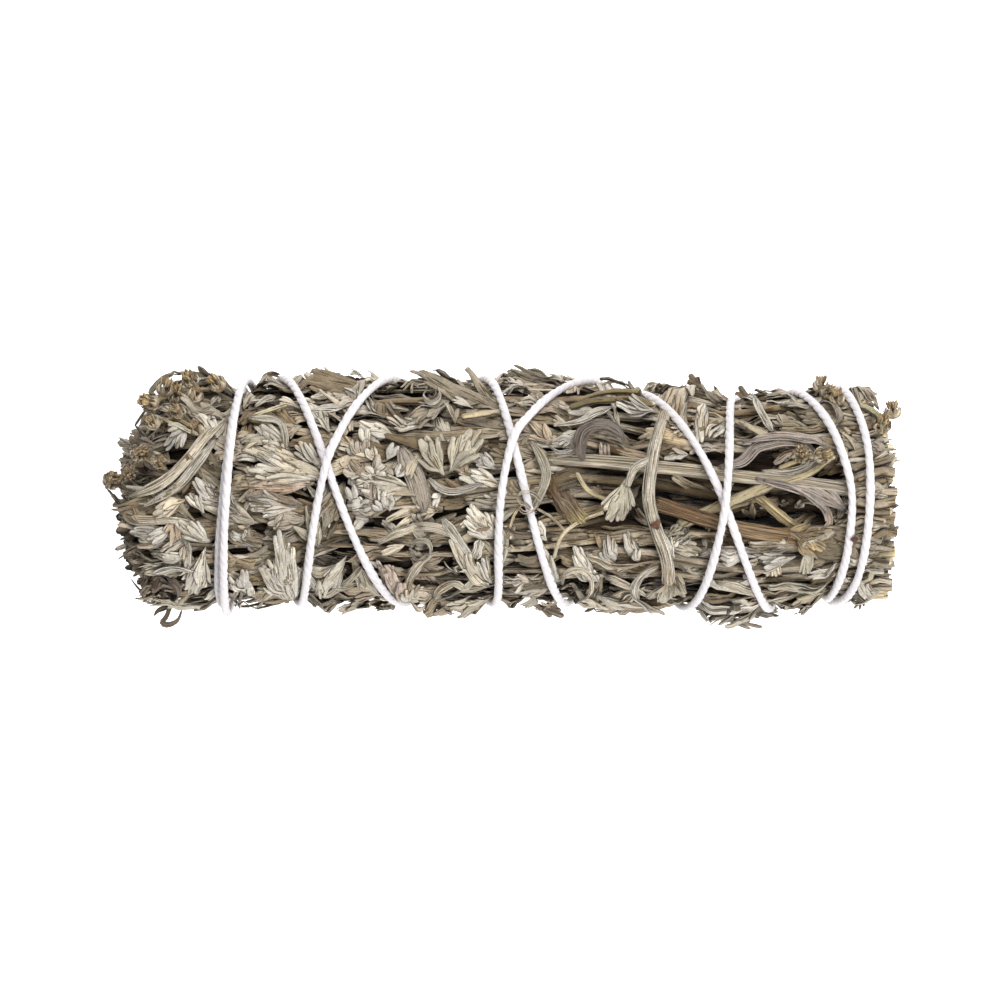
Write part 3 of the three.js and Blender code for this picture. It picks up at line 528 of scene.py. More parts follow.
KNOT_TURN = 145
STRING_RADIUS = 0.6
STRING_LIFT = 0.05  # how far over the table it stays
STRING_BODY_X = [-52, 10, 30, 38, 44, 52]
STRING_BODY = [14.6, 14.6, 14.3, 14, 13.6, 13.2]  # how far from the axis it lies, at each x
STRING_PRESS = 0.72  # how far under its middle it holds the leaves down
RELEASE_RISE = 5.0  # how far they may rise again
RELEASE = (0.35, 5.2)  # from and to how far beside it
CROSSING_WIDTH = 1.8
CROSSING_RISE = 1.3
FAR = 1e3
STRING_WAY = np.array([  # whole turns from the knot, turn, x, how far it bites in
    [0, 145, -33.2, 1.2], [0, 90, -33.4, 1.4], [0, -90, -36.1, 0],
    [1, 90, -28.2, 0], [1, 13, -22.1, 0], [1, -90, -12.6, 0],
    [2, 90, -1.95, 0], [2, 25, 1.7, 0], [2, -90, 8.7, 0],
    [3, 90, 17.9, 1.7], [3, -2, 28.7, 0.2], [3, -90, 35.1, 0],
    [4, 90, 38.1, 0.4], [4, 24, 43.6, 0], [4, 0, 44.9, 0], [4, -30, 44.6, 0], [4, -90, 42.6, 0],
    [5, 90, 43.9, 0], [5, 22, 47.1, 0], [5, -30, 46.8, 0], [5, -90, 44.2, 0],
    [6, 90, 30.5, 0.9], [6, -2, 28.7, 0.2], [6, -90, 24, 0],
    [7, 90, 11.7, 0.2], [7, 25, 1.7, 0], [7, -90, -0.9, 0],
    [8, 90, -13.9, 0], [8, 13, -22.1, 0], [8, -90, -26, 0],
    [9, 90, -32.8, 1.4], [9, -90, -35.5, 0], [10, 145, -32.6, 1.2]])


def floor_distance(turn, clearance):
    """How far from the axis a thing can lie at a turn, over the table by a clearance."""
    down = -np.cos(np.radians(turn))
    return np.where(down > 1e-3, (AXIS_HEIGHT - clearance) / np.maximum(down, 1e-3), FAR)


def wind_string():
    """The string's x, turn and distance at every degree of its winding, from the knot round to the knot."""
    knots = STRING_WAY[:, 0] * 360 + KNOT_TURN - STRING_WAY[:, 1]
    degree = np.arange(int(knots[-1]) + 1)
    at = np.clip(np.searchsorted(knots, degree, side="right") - 1, 0, len(knots) - 2)
    padded = np.concatenate([[2 * knots[0] - knots[1]], knots, [2 * knots[-1] - knots[-2]]])
    t0, t1 = knots[at], knots[at + 1]
    p = (degree - t0) / (t1 - t0)
    before = 0.5 * (t1 - t0) / (t0 - padded[at])
    after = 0.5 * (t1 - t0) / (padded[at + 3] - t1)
    weights = [-before * p ** 3 + 2 * before * p ** 2 - before * p,
               (1 + before) * p ** 3 + (-1.5 - 2 * before) * p ** 2 + (before - 0.5) * p + 1,
               (-1 - after) * p ** 3 + (1.5 + after) * p ** 2 + 0.5 * p,
               after * p ** 3 - after * p ** 2]
    previous = np.where(at == 0, 1, at - 1)
    following = np.where(at + 2 == len(knots), at, np.minimum(at + 2, len(knots) - 1))
    values = [sum(w * STRING_WAY[i, column] for w, i in zip(weights, (previous, at, at + 1, following)))
              for column in (2, 3)]
    x = values[0]
    turn = KNOT_TURN - degree
    free = np.interp(x, STRING_BODY_X, STRING_BODY) - values[1]
    distance = free.copy()
    for one in degree:
        others = np.arange(one % 360, len(degree), 360)
        near = np.exp(-((x[others] - x[one]) / CROSSING_WIDTH) ** 2)
        under = near[others < one].max(initial=0)
        over = near[others > one].max(initial=0)
        lowest = floor_distance(turn[one], STRING_RADIUS + STRING_LIFT) - CROSSING_RISE * over
        distance[one] = min(free[one] + CROSSING_RISE * under, lowest)
    return x, turn, distance


string_x, string_turn, string_distance = wind_string()
# the strands at each whole turn, one column for each time round
strand_x = np.full((360, len(string_x) // 360 + 1), FAR)
strand_distance = strand_x.copy()
for one in range(len(string_x)):
    strand_x[one % 360, one // 360] = string_x[one]
    strand_distance[one % 360, one // 360] = string_distance[one]

HOLLOW_X = (8, 13, 46, 50)  # where it starts and is deep, and where it gets shallow and ends
HOLLOW_TURN = (-27, -18, 20, 30)
HOLLOW_DEPTH = 3.0
HOLE_DISTANCE = 13
SIDE_BULGE = 0.6
SIDE_BULGE_X = (-50, -44)
CUT_BULGE = 1.3
CUT_BULGE_X = (36, 45)
END_LEAN = (3.0, 1.5)  # how far the leafy end lies back at +Y, and out at -Y
END_LEAN_X = (-46, -38)
LEAFY_END = (-49.6, 4.6, 1.2)  # its x, and how far it lies back at +Y and at -Y
CUT_END = (50.2, 2.4)  # its x, and how far it lies back at +Y
HOLES = [  # x, y, size, depth: dark gaps between the stems in the hollow and between the leaves
    (21.0, -0.3, 1.7, 3.4), (25.0, -0.4, 2.0, 2.6), (37.0, -1.5, 1.8, 3.4), (17.4, 7.4, 1.7, 3.4),
    (16.8, -3.9, 1.4, 2.8), (6.5, -2.4, 1.2, 2.6), (31.5, -3.3, 1.1, 2.4), (39.7, -3.1, 1.0, 3.0),
    (-17.5, -4.4, 0.9, 2.0), (-26.6, 4.6, 1.2, 2.0), (31.5, 10.2, 1.2, 2.2), (39.5, 10.1, 1.2, 2.2),
    (-4.6, -9.8, 0.9, 1.8), (-12.3, 8.0, 1.0, 2.2), (-11.1, -4.0, 0.9, 2.2), (-8.2, -13.1, 0.8, 1.8),
    (2.3, -7.9, 0.9, 2.0), (9.3, -12.0, 1.0, 2.2), (12.9, -10.2, 1.0, 2.2), (22.4, -10.2, 1.0, 2.0),
    (-33.0, -6.6, 1.3, 2.2), (-33.2, -12.6, 0.9, 1.8), (-44.0, -11.8, 1.5, 2.8), (-42.6, 5.0, 1.3, 2.2),
    (-45.6, 9.4, 1.2, 2.4), (-46.2, -6.2, 1.1, 2.2), (-45.4, 2.6, 1.0, 2.2), (-38.9, 9.8, 1.0, 2.0),
    (48.9, -10.2, 1.4, 3.4), (48.2, 3.8, 1.1, 2.6), (46.6, -3.6, 0.9, 2.0), (49.6, -6.8, 1.0, 3.0),
    (49.8, 7.4, 1.0, 2.4), (49.8, -1.6, 0.8, 2.4),
]


def wrapped(turn):
    """A turn as one from -180 to 180."""
    return (turn + 180) % 360 - 180


def hollow(x, turn):
    """How deep the hollow and the holes are at a place."""
    turn = wrapped(turn)
    lengthwise = smooth(x, *HOLLOW_X[:2]) * (1 - smooth(x, *HOLLOW_X[2:]))
    depth = HOLLOW_DEPTH * lengthwise * smooth(turn, *HOLLOW_TURN[:2]) * (1 - smooth(turn, *HOLLOW_TURN[2:]))
    y = HOLE_DISTANCE * np.sin(np.radians(turn))
    for hole_x, hole_y, size, sinking in HOLES:
        away = ((x - hole_x) ** 2 + (y - hole_y) ** 2) / size ** 2
        depth = depth + sinking * np.exp(-away) * (np.abs(turn) < 90)
    return depth


def leaf_bed(x, turn):
    """How far from the axis the leaves lie at a place, before the string presses them."""
    aside = np.sin(np.radians(turn))
    lean = np.where(aside > 0, END_LEAN[0] * aside, END_LEAN[1] * aside) * (1 - smooth(x, *END_LEAN_X))
    bulge = (SIDE_BULGE * aside ** 4 * smooth(x, *SIDE_BULGE_X)
             + CUT_BULGE * np.maximum(-aside, 0) * smooth(x, *CUT_BULGE_X))
    return np.interp(x - lean, LEAF_BED_X, LEAF_BED) + bulge - hollow(x, turn)


def leafy_end(turn):
    """The x that the leaf tips reach at a turn."""
    aside = math.sin(math.radians(turn))
    x, back, front = LEAFY_END
    return x + (back * aside ** 2 if aside > 0 else front * aside ** 2)


def cut_end(turn):
    """The x where the sprigs are cut off at a turn."""
    x, back = CUT_END
    return x - back * max(math.sin(math.radians(turn)), 0) ** 3


def under_string(x, turn):
    """The distance that the string holds the leaves down to. It rises again beside each strand."""
    row = np.round(KNOT_TURN - turn).astype(int) % 360
    away = np.abs(x[..., None] - strand_x[row])
    return (strand_distance[row] - STRING_PRESS + RELEASE_RISE * smooth(away, *RELEASE)).min(-1)


BLEND = 0.12


def soft_least(first, second):
    """The smaller of two distances, rounded off where they meet."""
    return np.minimum(first, second) - BLEND * np.exp(-np.abs(first - second) / (2 * BLEND)) * 0.7


LEAF_DISTANCE = 13.8
LEAF_CLEARANCE = 0.2


def laid(x, turn, heading, along, across, height, tuck=0.0, straight=0.0):
    """A flat leaf's points once it lies on the bundle. A heading of 180 grows towards -X."""
    ahead, aside = math.cos(math.radians(heading)), math.sin(math.radians(heading))
    leaf_x = x + along * ahead - across * aside
    leaf_turn = turn + np.degrees((along * aside + across * ahead) / LEAF_DISTANCE)
    bed = leaf_bed(leaf_x, leaf_turn)
    bed = bed + (leaf_bed(np.float64(x), np.float64(turn)) - bed) * straight
    distance = soft_least(bed + height, under_string(leaf_x, leaf_turn) - tuck)
    distance = np.minimum(distance, floor_distance(leaf_turn, LEAF_CLEARANCE + tuck))
    surface = outward(leaf_turn)
    tangent = np.stack([0 * leaf_x, surface[..., 2], -surface[..., 1]], -1)
    across_way = tangent * ahead + np.array([-aside, 0, 0])
    return to_space(leaf_x, leaf_turn, distance), surface, across_way


TOOTH_STEP = 0.09  # how much shorter a rib is than the one nearer the middle of its lobe
WIDENING = (0.3, 0.8, 0.1)  # how much a lobe widens steadily, from its root and at its teeth
FILLING = 0.74  # how much of the room between two ribs each of them covers
THINNEST = 0.15
NARROWER_TIP = 0.3
RIB_SLANT = 0.18  # how much further over each rib leans than the one beside it


def fan(cuttings, x, turn, heading, length, lobes, spread, half, height, tint, roll=0.0, curl=0.0, fold=0.0,
        dip=1.0, tuck=0.0, straight=0.0, bend=0.0, palm=0.4, teeth=3, stations=11, crumple=0.25):
    """A divided leaf pressed on the bundle. Its lobes part from one narrow root, and each ends in teeth.

    It rises over the bed by height, its root dips, its tips curl, and it folds along its middle. The palm is
    the share of it that comes before the lobes part, and a straight one doesn't follow the bed's hollows.
    """
    # the lobes, and the ribs side by side in each, which end in its teeth
    t = 1 - (1 - np.linspace(0, 1, stations)) ** 1.6
    lobe_lean = np.linspace(-1, 1, lobes) if lobes > 1 else np.zeros(1)
    lobe_lean = lobe_lean + rng.normal(0, 0.3 / lobes, lobes)
    lobe_reach = length * (1 - SHORTER * lobe_lean ** 2) * rng.uniform(0.85, 1.04, lobes)
    ribs = rng.integers(max(teeth - 1, 1), teeth + 1, lobes)
    of_lobe = np.repeat(np.arange(lobes), ribs)
    beside = np.concatenate([np.arange(n) - (n - 1) / 2 for n in ribs])
    angle = (math.radians(spread) / 2 * lobe_lean)[of_lobe]
    reach = lobe_reach[of_lobe] * (1 - TOOTH_STEP * np.abs(beside) * rng.uniform(0.4, 1.6, len(beside)))
    # each rib's way: half its turn in the palm, the rest beyond, and further aside as the lobe widens
    part = palm * reach
    p1 = np.stack([part * np.cos(0.5 * angle), part * np.sin(0.5 * angle)], -1)[:, None]
    p2 = np.stack([reach * np.cos(angle), reach * np.sin(angle)], -1)[:, None]
    s = t[None, :, None]
    flat = 2 * s * (1 - s) * p1 + s ** 2 * p2
    steady, wide, teeth_wide = WIDENING
    widening = half * (steady * t + wide * smooth(t, 0.1, 0.6) + teeth_wide * smooth(t, 0.7, 1.0))
    shift = beside[:, None] * widening[None]
    flat = flat + np.stack([-np.sin(angle), np.cos(angle)], -1)[:, None] * shift[..., None]
    along, across = flat[..., 0], flat[..., 1]
    # as wide as the room between the ribs, with round tips
    width = np.full((len(beside), stations), half)
    if len(beside) > 1:
        gaps = np.linalg.norm(np.diff(flat, axis=0), axis=-1)
        narrowest = np.concatenate([gaps[:1], np.maximum(gaps[1:], gaps[:-1]), gaps[-1:]])
        width = np.clip(FILLING * narrowest, THINNEST, half * (1.65 - 0.6 * smooth(t, 0.55, 0.92)))
    across = across + (bend + rng.normal(0, 0.08, lobes)[of_lobe][:, None]) * along ** 2 / length
    rounding = np.clip(1.5 * half / np.maximum(reach, 0.1), 0.02, 0.4)[:, None]
    tip = np.sqrt(np.clip(1 - (np.clip(t - 1 + rounding, 0, 1) / (1.04 * rounding)) ** 2, 0, 1))
    width = width * tip * (1 - NARROWER_TIP * smooth(t, 0.55, 1)) * rng.uniform(0.85, 1.1, (len(beside), 1))
    # the height over the bed: raised, dipped, curled, folded and crumpled
    wave = rng.uniform(0, 6.3, 4)
    rise = (height - dip * (1 - t) ** 2.5 + curl * t ** 2 + roll * across + fold * np.abs(across)
            + crumple * np.sin(1.1 * along + wave[0]) * np.sin(1.3 * across + wave[1])
            + 0.5 * crumple * np.sin(2.3 * along + wave[2] + across)
            + rng.normal(0, 0.22, lobes)[of_lobe][:, None] * t ** 1.5
            + rng.normal(0, 0.06, (len(beside), 1)) * t)
    points, surface, across_way = laid(x, turn, heading, along, across, rise, tuck, straight)
    lean_over = roll + fold * np.sign(across) + (rng.normal(0, 0.35, lobes)[of_lobe][:, None]
                                                 + RIB_SLANT * beside[:, None]) * t
    up = unit(surface - across_way * lean_over[..., None])
    light = rng.uniform(0.85, 1.12, lobes)[of_lobe] * rng.uniform(0.94, 1.05, len(beside))
    tone = np.array(tint) * light[:, None, None] * (0.85 + 0.17 * t)[None, :, None]
    cuttings.add(points, up, width, 0.08 * width + LEAF_THICKNESS, tone)


STEEPEST = 0.98  # the sine of the turn where a place seen from above ends


def over_bed(way, height, stations, clearance):
    """A smooth way over the upper side: its x, turn and distance through (x, y) points at a height."""
    x, y = spine(np.array(way), stations).T
    y = y - sag(x)
    distance = np.full(stations, LEAF_DISTANCE)
    # the turn and the distance depend on each other, and settle in three rounds
    for _ in range(3):
        turn = np.degrees(np.arcsin(np.clip(y / distance, -STEEPEST, STEEPEST)))
        distance = soft_least(leaf_bed(x, turn) + height,
                              under_string(x, turn) + STRING_PRESS - STRING_RADIUS - clearance)
    return x, turn, distance


STRAP_ENDS = 0.25  # the share of a band in which each end narrows
STRAP_CLEARANCE = 0.15  # from the string that crosses over it


def strap(cuttings, way, height, ribs, width, tint, roll, twist):
    """A ribbed band of leaf along a way over the upper side, with a thin rib more along each edge."""
    stations = 10 + 3 * len(way)
    ribs += 2
    x, turn, distance = over_bed(way, height, stations, STRAP_CLEARANCE)
    path = to_space(x, turn, distance)
    surface = outward(turn)
    along = unit(np.gradient(path, axis=0))
    side = unit(np.cross(along, surface))
    over = np.cross(side, along)
    t = np.linspace(0, 1, stations)
    angle = (roll + twist * np.sin(3 * t + rng.uniform(0, 3)))[:, None]
    leaning = side * np.cos(angle) + over * np.sin(angle)
    above = np.cross(leaning, along)
    taper = (1 - (1 - smooth(t, 0, STRAP_ENDS)) * 0.6) * (1 - smooth(t, 1 - STRAP_ENDS, 1.03) * 0.85)
    offset = (np.arange(ribs) - (ribs - 1) / 2) * 2 * width / ribs
    wander = 1 + 0.12 * np.sin(t * rng.uniform(4, 9) + rng.uniform(0, 6))
    rows = path[None] + leaning[None] * (offset[:, None] * taper * wander)[..., None]
    uneven = 0.06 * np.sin(7 * t[None] + 2.1 * np.arange(ribs)[:, None])
    sunk = 0.2 * offset[:, None] ** 2 / width * taper + uneven
    rows = rows - above[None] * sunk[..., None]
    half = width / ribs * 1.15 * taper
    tone = np.array(tint) * rng.uniform(0.72, 1.12, (ribs, 1, 1)) * rng.uniform(0.95, 1.05, (1, stations, 1))
    cuttings.add(rows, above[None], half[None], 0.3 * half[None] + 0.06, tone)


STALK_STATIONS = 26
STALK_CLEARANCE = 0.5
STEM_FLATNESS = 0.85


def stalk(cuttings, way, height, radii, tint):
    """A thin stem along a way over the upper side, with a cut end."""
    x, turn, distance = over_bed(way, height, STALK_STATIONS, STALK_CLEARANCE)
    radius = np.linspace(*radii, STALK_STATIONS)[None] * (1 + 0.05 * rng.normal(0, 1, (1, STALK_STATIONS)))
    bark = np.broadcast_to(tint, (1, STALK_STATIONS, 3)).copy()
    bark[:, -1] = PITH
    cuttings.add(to_space(x, turn, distance)[None], outward(turn)[None], radius, STEM_FLATNESS * radius,
                 bark, section=round_section(10, 0.1), cut=True)


OUTER_SPRIGS = 8
SPRIG_WAVES = [[5, 20], [9, 90], [6, 200], [5, 310], [6, 60], [5, 140], [6, 250], [4, 0]]  # degrees, phase
SPRIG_WAVELENGTH = 70


def sprig_border(index, x):
    """The turn of the wavy border before an outer sprig."""
    wave, phase = SPRIG_WAVES[index % OUTER_SPRIGS]
    wavy = wave * np.sin(np.radians(360 * x / SPRIG_WAVELENGTH + phase))
    return 360 * (index - 0.5) / OUTER_SPRIGS + wavy


def turn_in(index, x, share):
    """The turn at a share of the way across an outer sprig."""
    return sprig_border(index, x) * (1 - share) + sprig_border(index + 1, x) * share


# the leaves, bands and stems that lie on top where the photograph shows them, in millimetres and degrees
LAID_FANS = [  # x, y, heading, length, lobes, teeth, spread, half, height, roll, tint
    (-26.5, -15.7, 115, 8.9, 4, 3, 40, 0.5, 1.35, 0.1, "sage"),
    (-26.8, -14.9, 94, 10.3, 4, 3, 34, 0.5, 1.6, -0.05, "sage"),
    (-32.6, -13.4, 93, 5.7, 2, 3, 18, 0.45, 1.3, 0.1, "blue"),
    (-31.6, -13.9, 131, 4.7, 3, 2, 40, 0.4, 1.0, 0.1, "sage"),
    (-22.4, 1.9, 156, 11.7, 4, 3, 26, 0.55, 1.2, 0.1, "straw"),
    (-22.7, 1.4, 169, 10.9, 4, 3, 24, 0.55, 1.35, 0.0, "sage"),
    (-23.2, 0.9, 181, 9.9, 3, 3, 22, 0.55, 1.1, -0.1, "rust"),
    (-25.5, 4.6, 151, 8.3, 3, 3, 24, 0.5, 1.0, 0.1, "sage"),
    (-22.7, 2.7, 132, 6.9, 2, 3, 16, 0.5, 1.2, 0.2, "sage"),
    (-25.5, -2.4, 171, 7.7, 4, 2, 36, 0.45, 1.1, -0.1, "blue"),
    (-24.0, -3.7, 185, 5.6, 3, 3, 40, 0.5, 0.9, 0.2, "shade"),
    (-31.1, -7.8, 142, 4.5, 3, 3, 50, 0.45, 1.2, 0.0, "blue"),
    (-23.2, -7.8, 109, 6.2, 3, 2, 40, 0.45, 1.0, 0.2, "olive"),
    (-22.7, -13.6, 120, 5.6, 3, 2, 30, 0.5, 1.1, -0.2, "sage"),
    (-19.6, -8.8, 227, 5.2, 3, 2, 36, 0.45, 1.0, 0.1, "sage"),
    (-21.7, 7.8, 131, 4.7, 3, 3, 34, 0.45, 1.1, 0.1, "sage"),
    (-25.5, 11.0, 170, 4.9, 2, 3, 16, 0.45, 1.3, 0.0, "straw"),
    (-39.7, 8.2, 214, 4.3, 3, 3, 44, 0.55, 1.9, 0.0, "blue"),
    (-36.9, -6.9, 139, 6.4, 3, 3, 34, 0.5, 1.7, 0.1, "sage"),
    (-37.6, -7.3, 247, 6.1, 3, 3, 36, 0.55, 1.5, 0.1, "sage"),
    (-39.5, -8.8, 177, 5.1, 3, 3, 30, 0.5, 1.3, -0.2, "sage"),
    (-35.9, -1.8, 134, 4.8, 3, 3, 30, 0.5, 1.4, 0.1, "blue"),
    (-37.7, -3.1, 118, 5.4, 2, 3, 22, 0.5, 1.6, 0.2, "sage"),
    (-40.0, -1.1, 198, 4.8, 3, 3, 24, 0.45, 1.7, 0.0, "straw"),
    (-41.3, -5.0, 188, 7.2, 3, 3, 22, 0.45, 1.2, 0.2, "blue"),
    (-44.6, 2.7, 153, 5.1, 3, 2, 44, 0.5, 1.0, 0.2, "dark"),
    (-42.0, 2.0, 142, 5.5, 3, 2, 44, 0.5, 1.2, -0.2, "dark"),
    (-43.6, 6.5, 159, 4.4, 3, 2, 40, 0.5, 1.2, 0.3, "dark"),
    (-35.4, 6.5, 132, 6.1, 2, 3, 24, 0.5, 1.4, 0.2, "sage"),
    (-34.9, 10.6, 250, 5.2, 2, 3, 20, 0.45, 1.7, 0.0, "straw"),
    (-35.4, -12.6, 234, 3.5, 3, 3, 40, 0.45, 1.0, 0.1, "sage"),
    (-40.8, -12.6, 191, 5.2, 3, 2, 34, 0.5, 1.0, 0.3, "dark"),
    (-6.9, 1.7, 124, 6.6, 3, 3, 28, 0.8, 1.7, 0.05, "olive"),
    (-6.6, 2.2, 50, 7.4, 3, 3, 30, 0.85, 1.8, -0.1, "olive"),
    (-8.2, 8.5, 176, 7.2, 3, 3, 20, 0.5, 1.3, 0.1, "sage"),
    (-13.0, 7.0, 170, 5.9, 3, 3, 22, 0.5, 1.2, 0.0, "sage"),
    (-3.3, 10.8, 167, 4.4, 2, 3, 12, 0.5, 1.2, 0.2, "sage"),
    (0.0, 2.7, 151, 4.7, 3, 3, 26, 0.5, 1.2, 0.0, "blue"),
    (0.5, 0.6, 162, 6.4, 3, 3, 24, 0.5, 1.1, 0.2, "sage"),
    (0.0, -6.9, 134, 7.0, 4, 3, 34, 0.55, 1.0, 0.1, "sage"),
    (-1.3, -12.6, 129, 8.9, 3, 3, 20, 0.5, 1.5, 0.0, "straw"),
    (-1.0, -12.4, 109, 7.8, 2, 3, 12, 0.5, 1.4, 0.1, "sage"),
    (-12.2, -14.7, 105, 6.1, 3, 3, 26, 0.5, 1.5, 0.1, "rust"),
    (-11.7, -14.4, 83, 6.2, 2, 3, 20, 0.5, 1.6, 0.3, "sage"),
    (-14.5, -12.6, 93, 5.4, 2, 3, 20, 0.45, 1.3, 0.0, "rust"),
    (-7.6, -13.9, 152, 5.5, 3, 3, 24, 0.45, 1.1, 0.2, "sage"),
    (-19.1, -8.8, 307, 6.4, 3, 3, 34, 0.45, 1.0, 0.0, "olive"),
    (0.0, -15.2, 175, 6.1, 3, 3, 26, 0.45, 0.9, 0.0, "straw"),
    (19.9, 9.7, 171, 5.7, 4, 3, 34, 0.45, 2.6, 0.1, "blue"),
    (12.7, 10.3, 194, 5.3, 2, 3, 12, 0.5, 1.8, 0.0, "sage"),
    (10.2, 7.8, 217, 3.8, 3, 3, 34, 0.45, 1.6, 0.2, "sage"),
    (6.1, -6.9, 124, 5.4, 2, 3, 14, 0.5, 1.0, 0.1, "sage"),
    (7.6, -12.0, 118, 6.5, 3, 2, 20, 0.45, 1.1, 0.2, "sage"),
    (12.7, -12.6, 124, 6.4, 3, 3, 30, 0.5, 1.3, 0.0, "sage"),
    (14.8, -10.1, 108, 5.1, 3, 3, 30, 0.5, 1.4, 0.1, "blue"),
    (17.8, -9.6, 111, 4.4, 3, 3, 30, 0.45, 1.3, 0.0, "sage"),
    (18.9, -12.6, 196, 6.4, 3, 3, 24, 0.45, 1.2, 0.1, "straw"),
    (22.4, -8.8, 118, 4.3, 3, 2, 30, 0.4, 1.9, 0.0, "sage"),
    (21.4, -7.3, 32, 3.3, 2, 3, 26, 0.45, 1.9, 0.0, "sage"),
    (24.2, 11.6, 241, 5.8, 3, 3, 30, 0.45, 2.0, 0.1, "sage"),
    (26.2, 11.3, 261, 4.9, 3, 3, 26, 0.45, 1.9, 0.0, "sage"),
    (29.0, 10.3, 246, 4.4, 2, 3, 18, 0.45, 2.0, 0.2, "sage"),
    (24.2, 5.5, 189, 3.4, 3, 2, 34, 0.4, 1.4, 0.1, "blue"),
    (33.1, -8.8, 172, 7.7, 2, 3, 10, 0.45, 1.6, 0.1, "blue"),
    (38.2, -8.8, 176, 7.9, 2, 3, 8, 0.5, 1.7, 0.0, "blue"),
    (34.4, -12.0, 182, 8.9, 3, 3, 14, 0.45, 1.2, 0.1, "sage"),
    (42.8, -12.6, 180, 9.4, 3, 3, 14, 0.5, 1.4, 0.0, "olive"),
    (35.7, -15.4, 174, 10.2, 4, 3, 20, 0.5, 1.0, 0.2, "sage"),
    (43.3, -10.1, 199, 4.6, 3, 3, 30, 0.45, 1.4, 0.1, "sage"),
    (39.7, -6.9, 258, 3.8, 2, 3, 16, 0.45, 1.7, 0.0, "olive"),
    (35.4, -8.8, 252, 3.2, 2, 3, 30, 0.4, 1.9, 0.0, "straw"),
    (49.4, 2.7, 187, 4.0, 3, 3, 14, 0.5, 1.2, 0.1, "olive"),
    (49.6, 0.1, 177, 4.3, 3, 3, 14, 0.5, 1.4, 0.0, "straw"),
    (49.7, -2.4, 189, 4.8, 3, 3, 16, 0.5, 1.2, 0.1, "sage"),
    (49.7, -5.0, 183, 5.1, 3, 3, 14, 0.45, 1.2, 0.0, "sage"),
    (49.4, -7.8, 174, 5.1, 3, 3, 16, 0.5, 1.3, 0.1, "shade"),
    (49.2, -10.7, 166, 4.7, 3, 3, 18, 0.45, 1.2, 0.0, "sage"),
    (48.7, -13.9, 150, 5.0, 3, 3, 22, 0.5, 1.0, 0.2, "sage"),
    (49.7, 5.5, 163, 3.5, 3, 3, 14, 0.45, 1.3, 0.0, "shade"),
    (8.4, -12.9, 334, 6.6, 3, 2, 24, 0.55, 1.7, 0.1, "straw"),
    (12.2, -13.1, 342, 6.2, 3, 2, 22, 0.55, 1.9, 0.1, "sage"),
    (16.4, -13.0, 330, 5.4, 3, 2, 26, 0.5, 1.8, 0.2, "sage"),
    (37.6, -6.1, 350, 4.8, 5, 2, 40, 0.36, 2.5, 0.1, "splinter"),
    (37.9, -6.4, 322, 3.6, 3, 2, 40, 0.34, 2.3, 0.2, "splinter"),
    (36.2, -6.0, 4, 3.6, 3, 2, 26, 0.34, 2.7, 0.0, "splinter"),
    (-27.0, 6.9, 182, 7.0, 4, 3, 16, 0.45, 0.9, 0.0, "olive"),
    (-28.0, 4.6, 178, 6.2, 3, 3, 14, 0.45, 0.8, 0.1, "sage"),
    (36.6, -2.9, 95, 1.9, 3, 2, 50, 0.4, 2.4, 0.1, "sage"),
    (38.3, -3.2, 80, 2.0, 3, 2, 50, 0.4, 2.4, 0.0, "sage"),
    (14.2, 4.2, 120, 3.4, 2, 2, 30, 0.4, 1.6, 0.2, "rust"),
    (13.0, 4.0, 75, 2.8, 2, 2, 30, 0.4, 1.4, 0.2, "rust"),
]
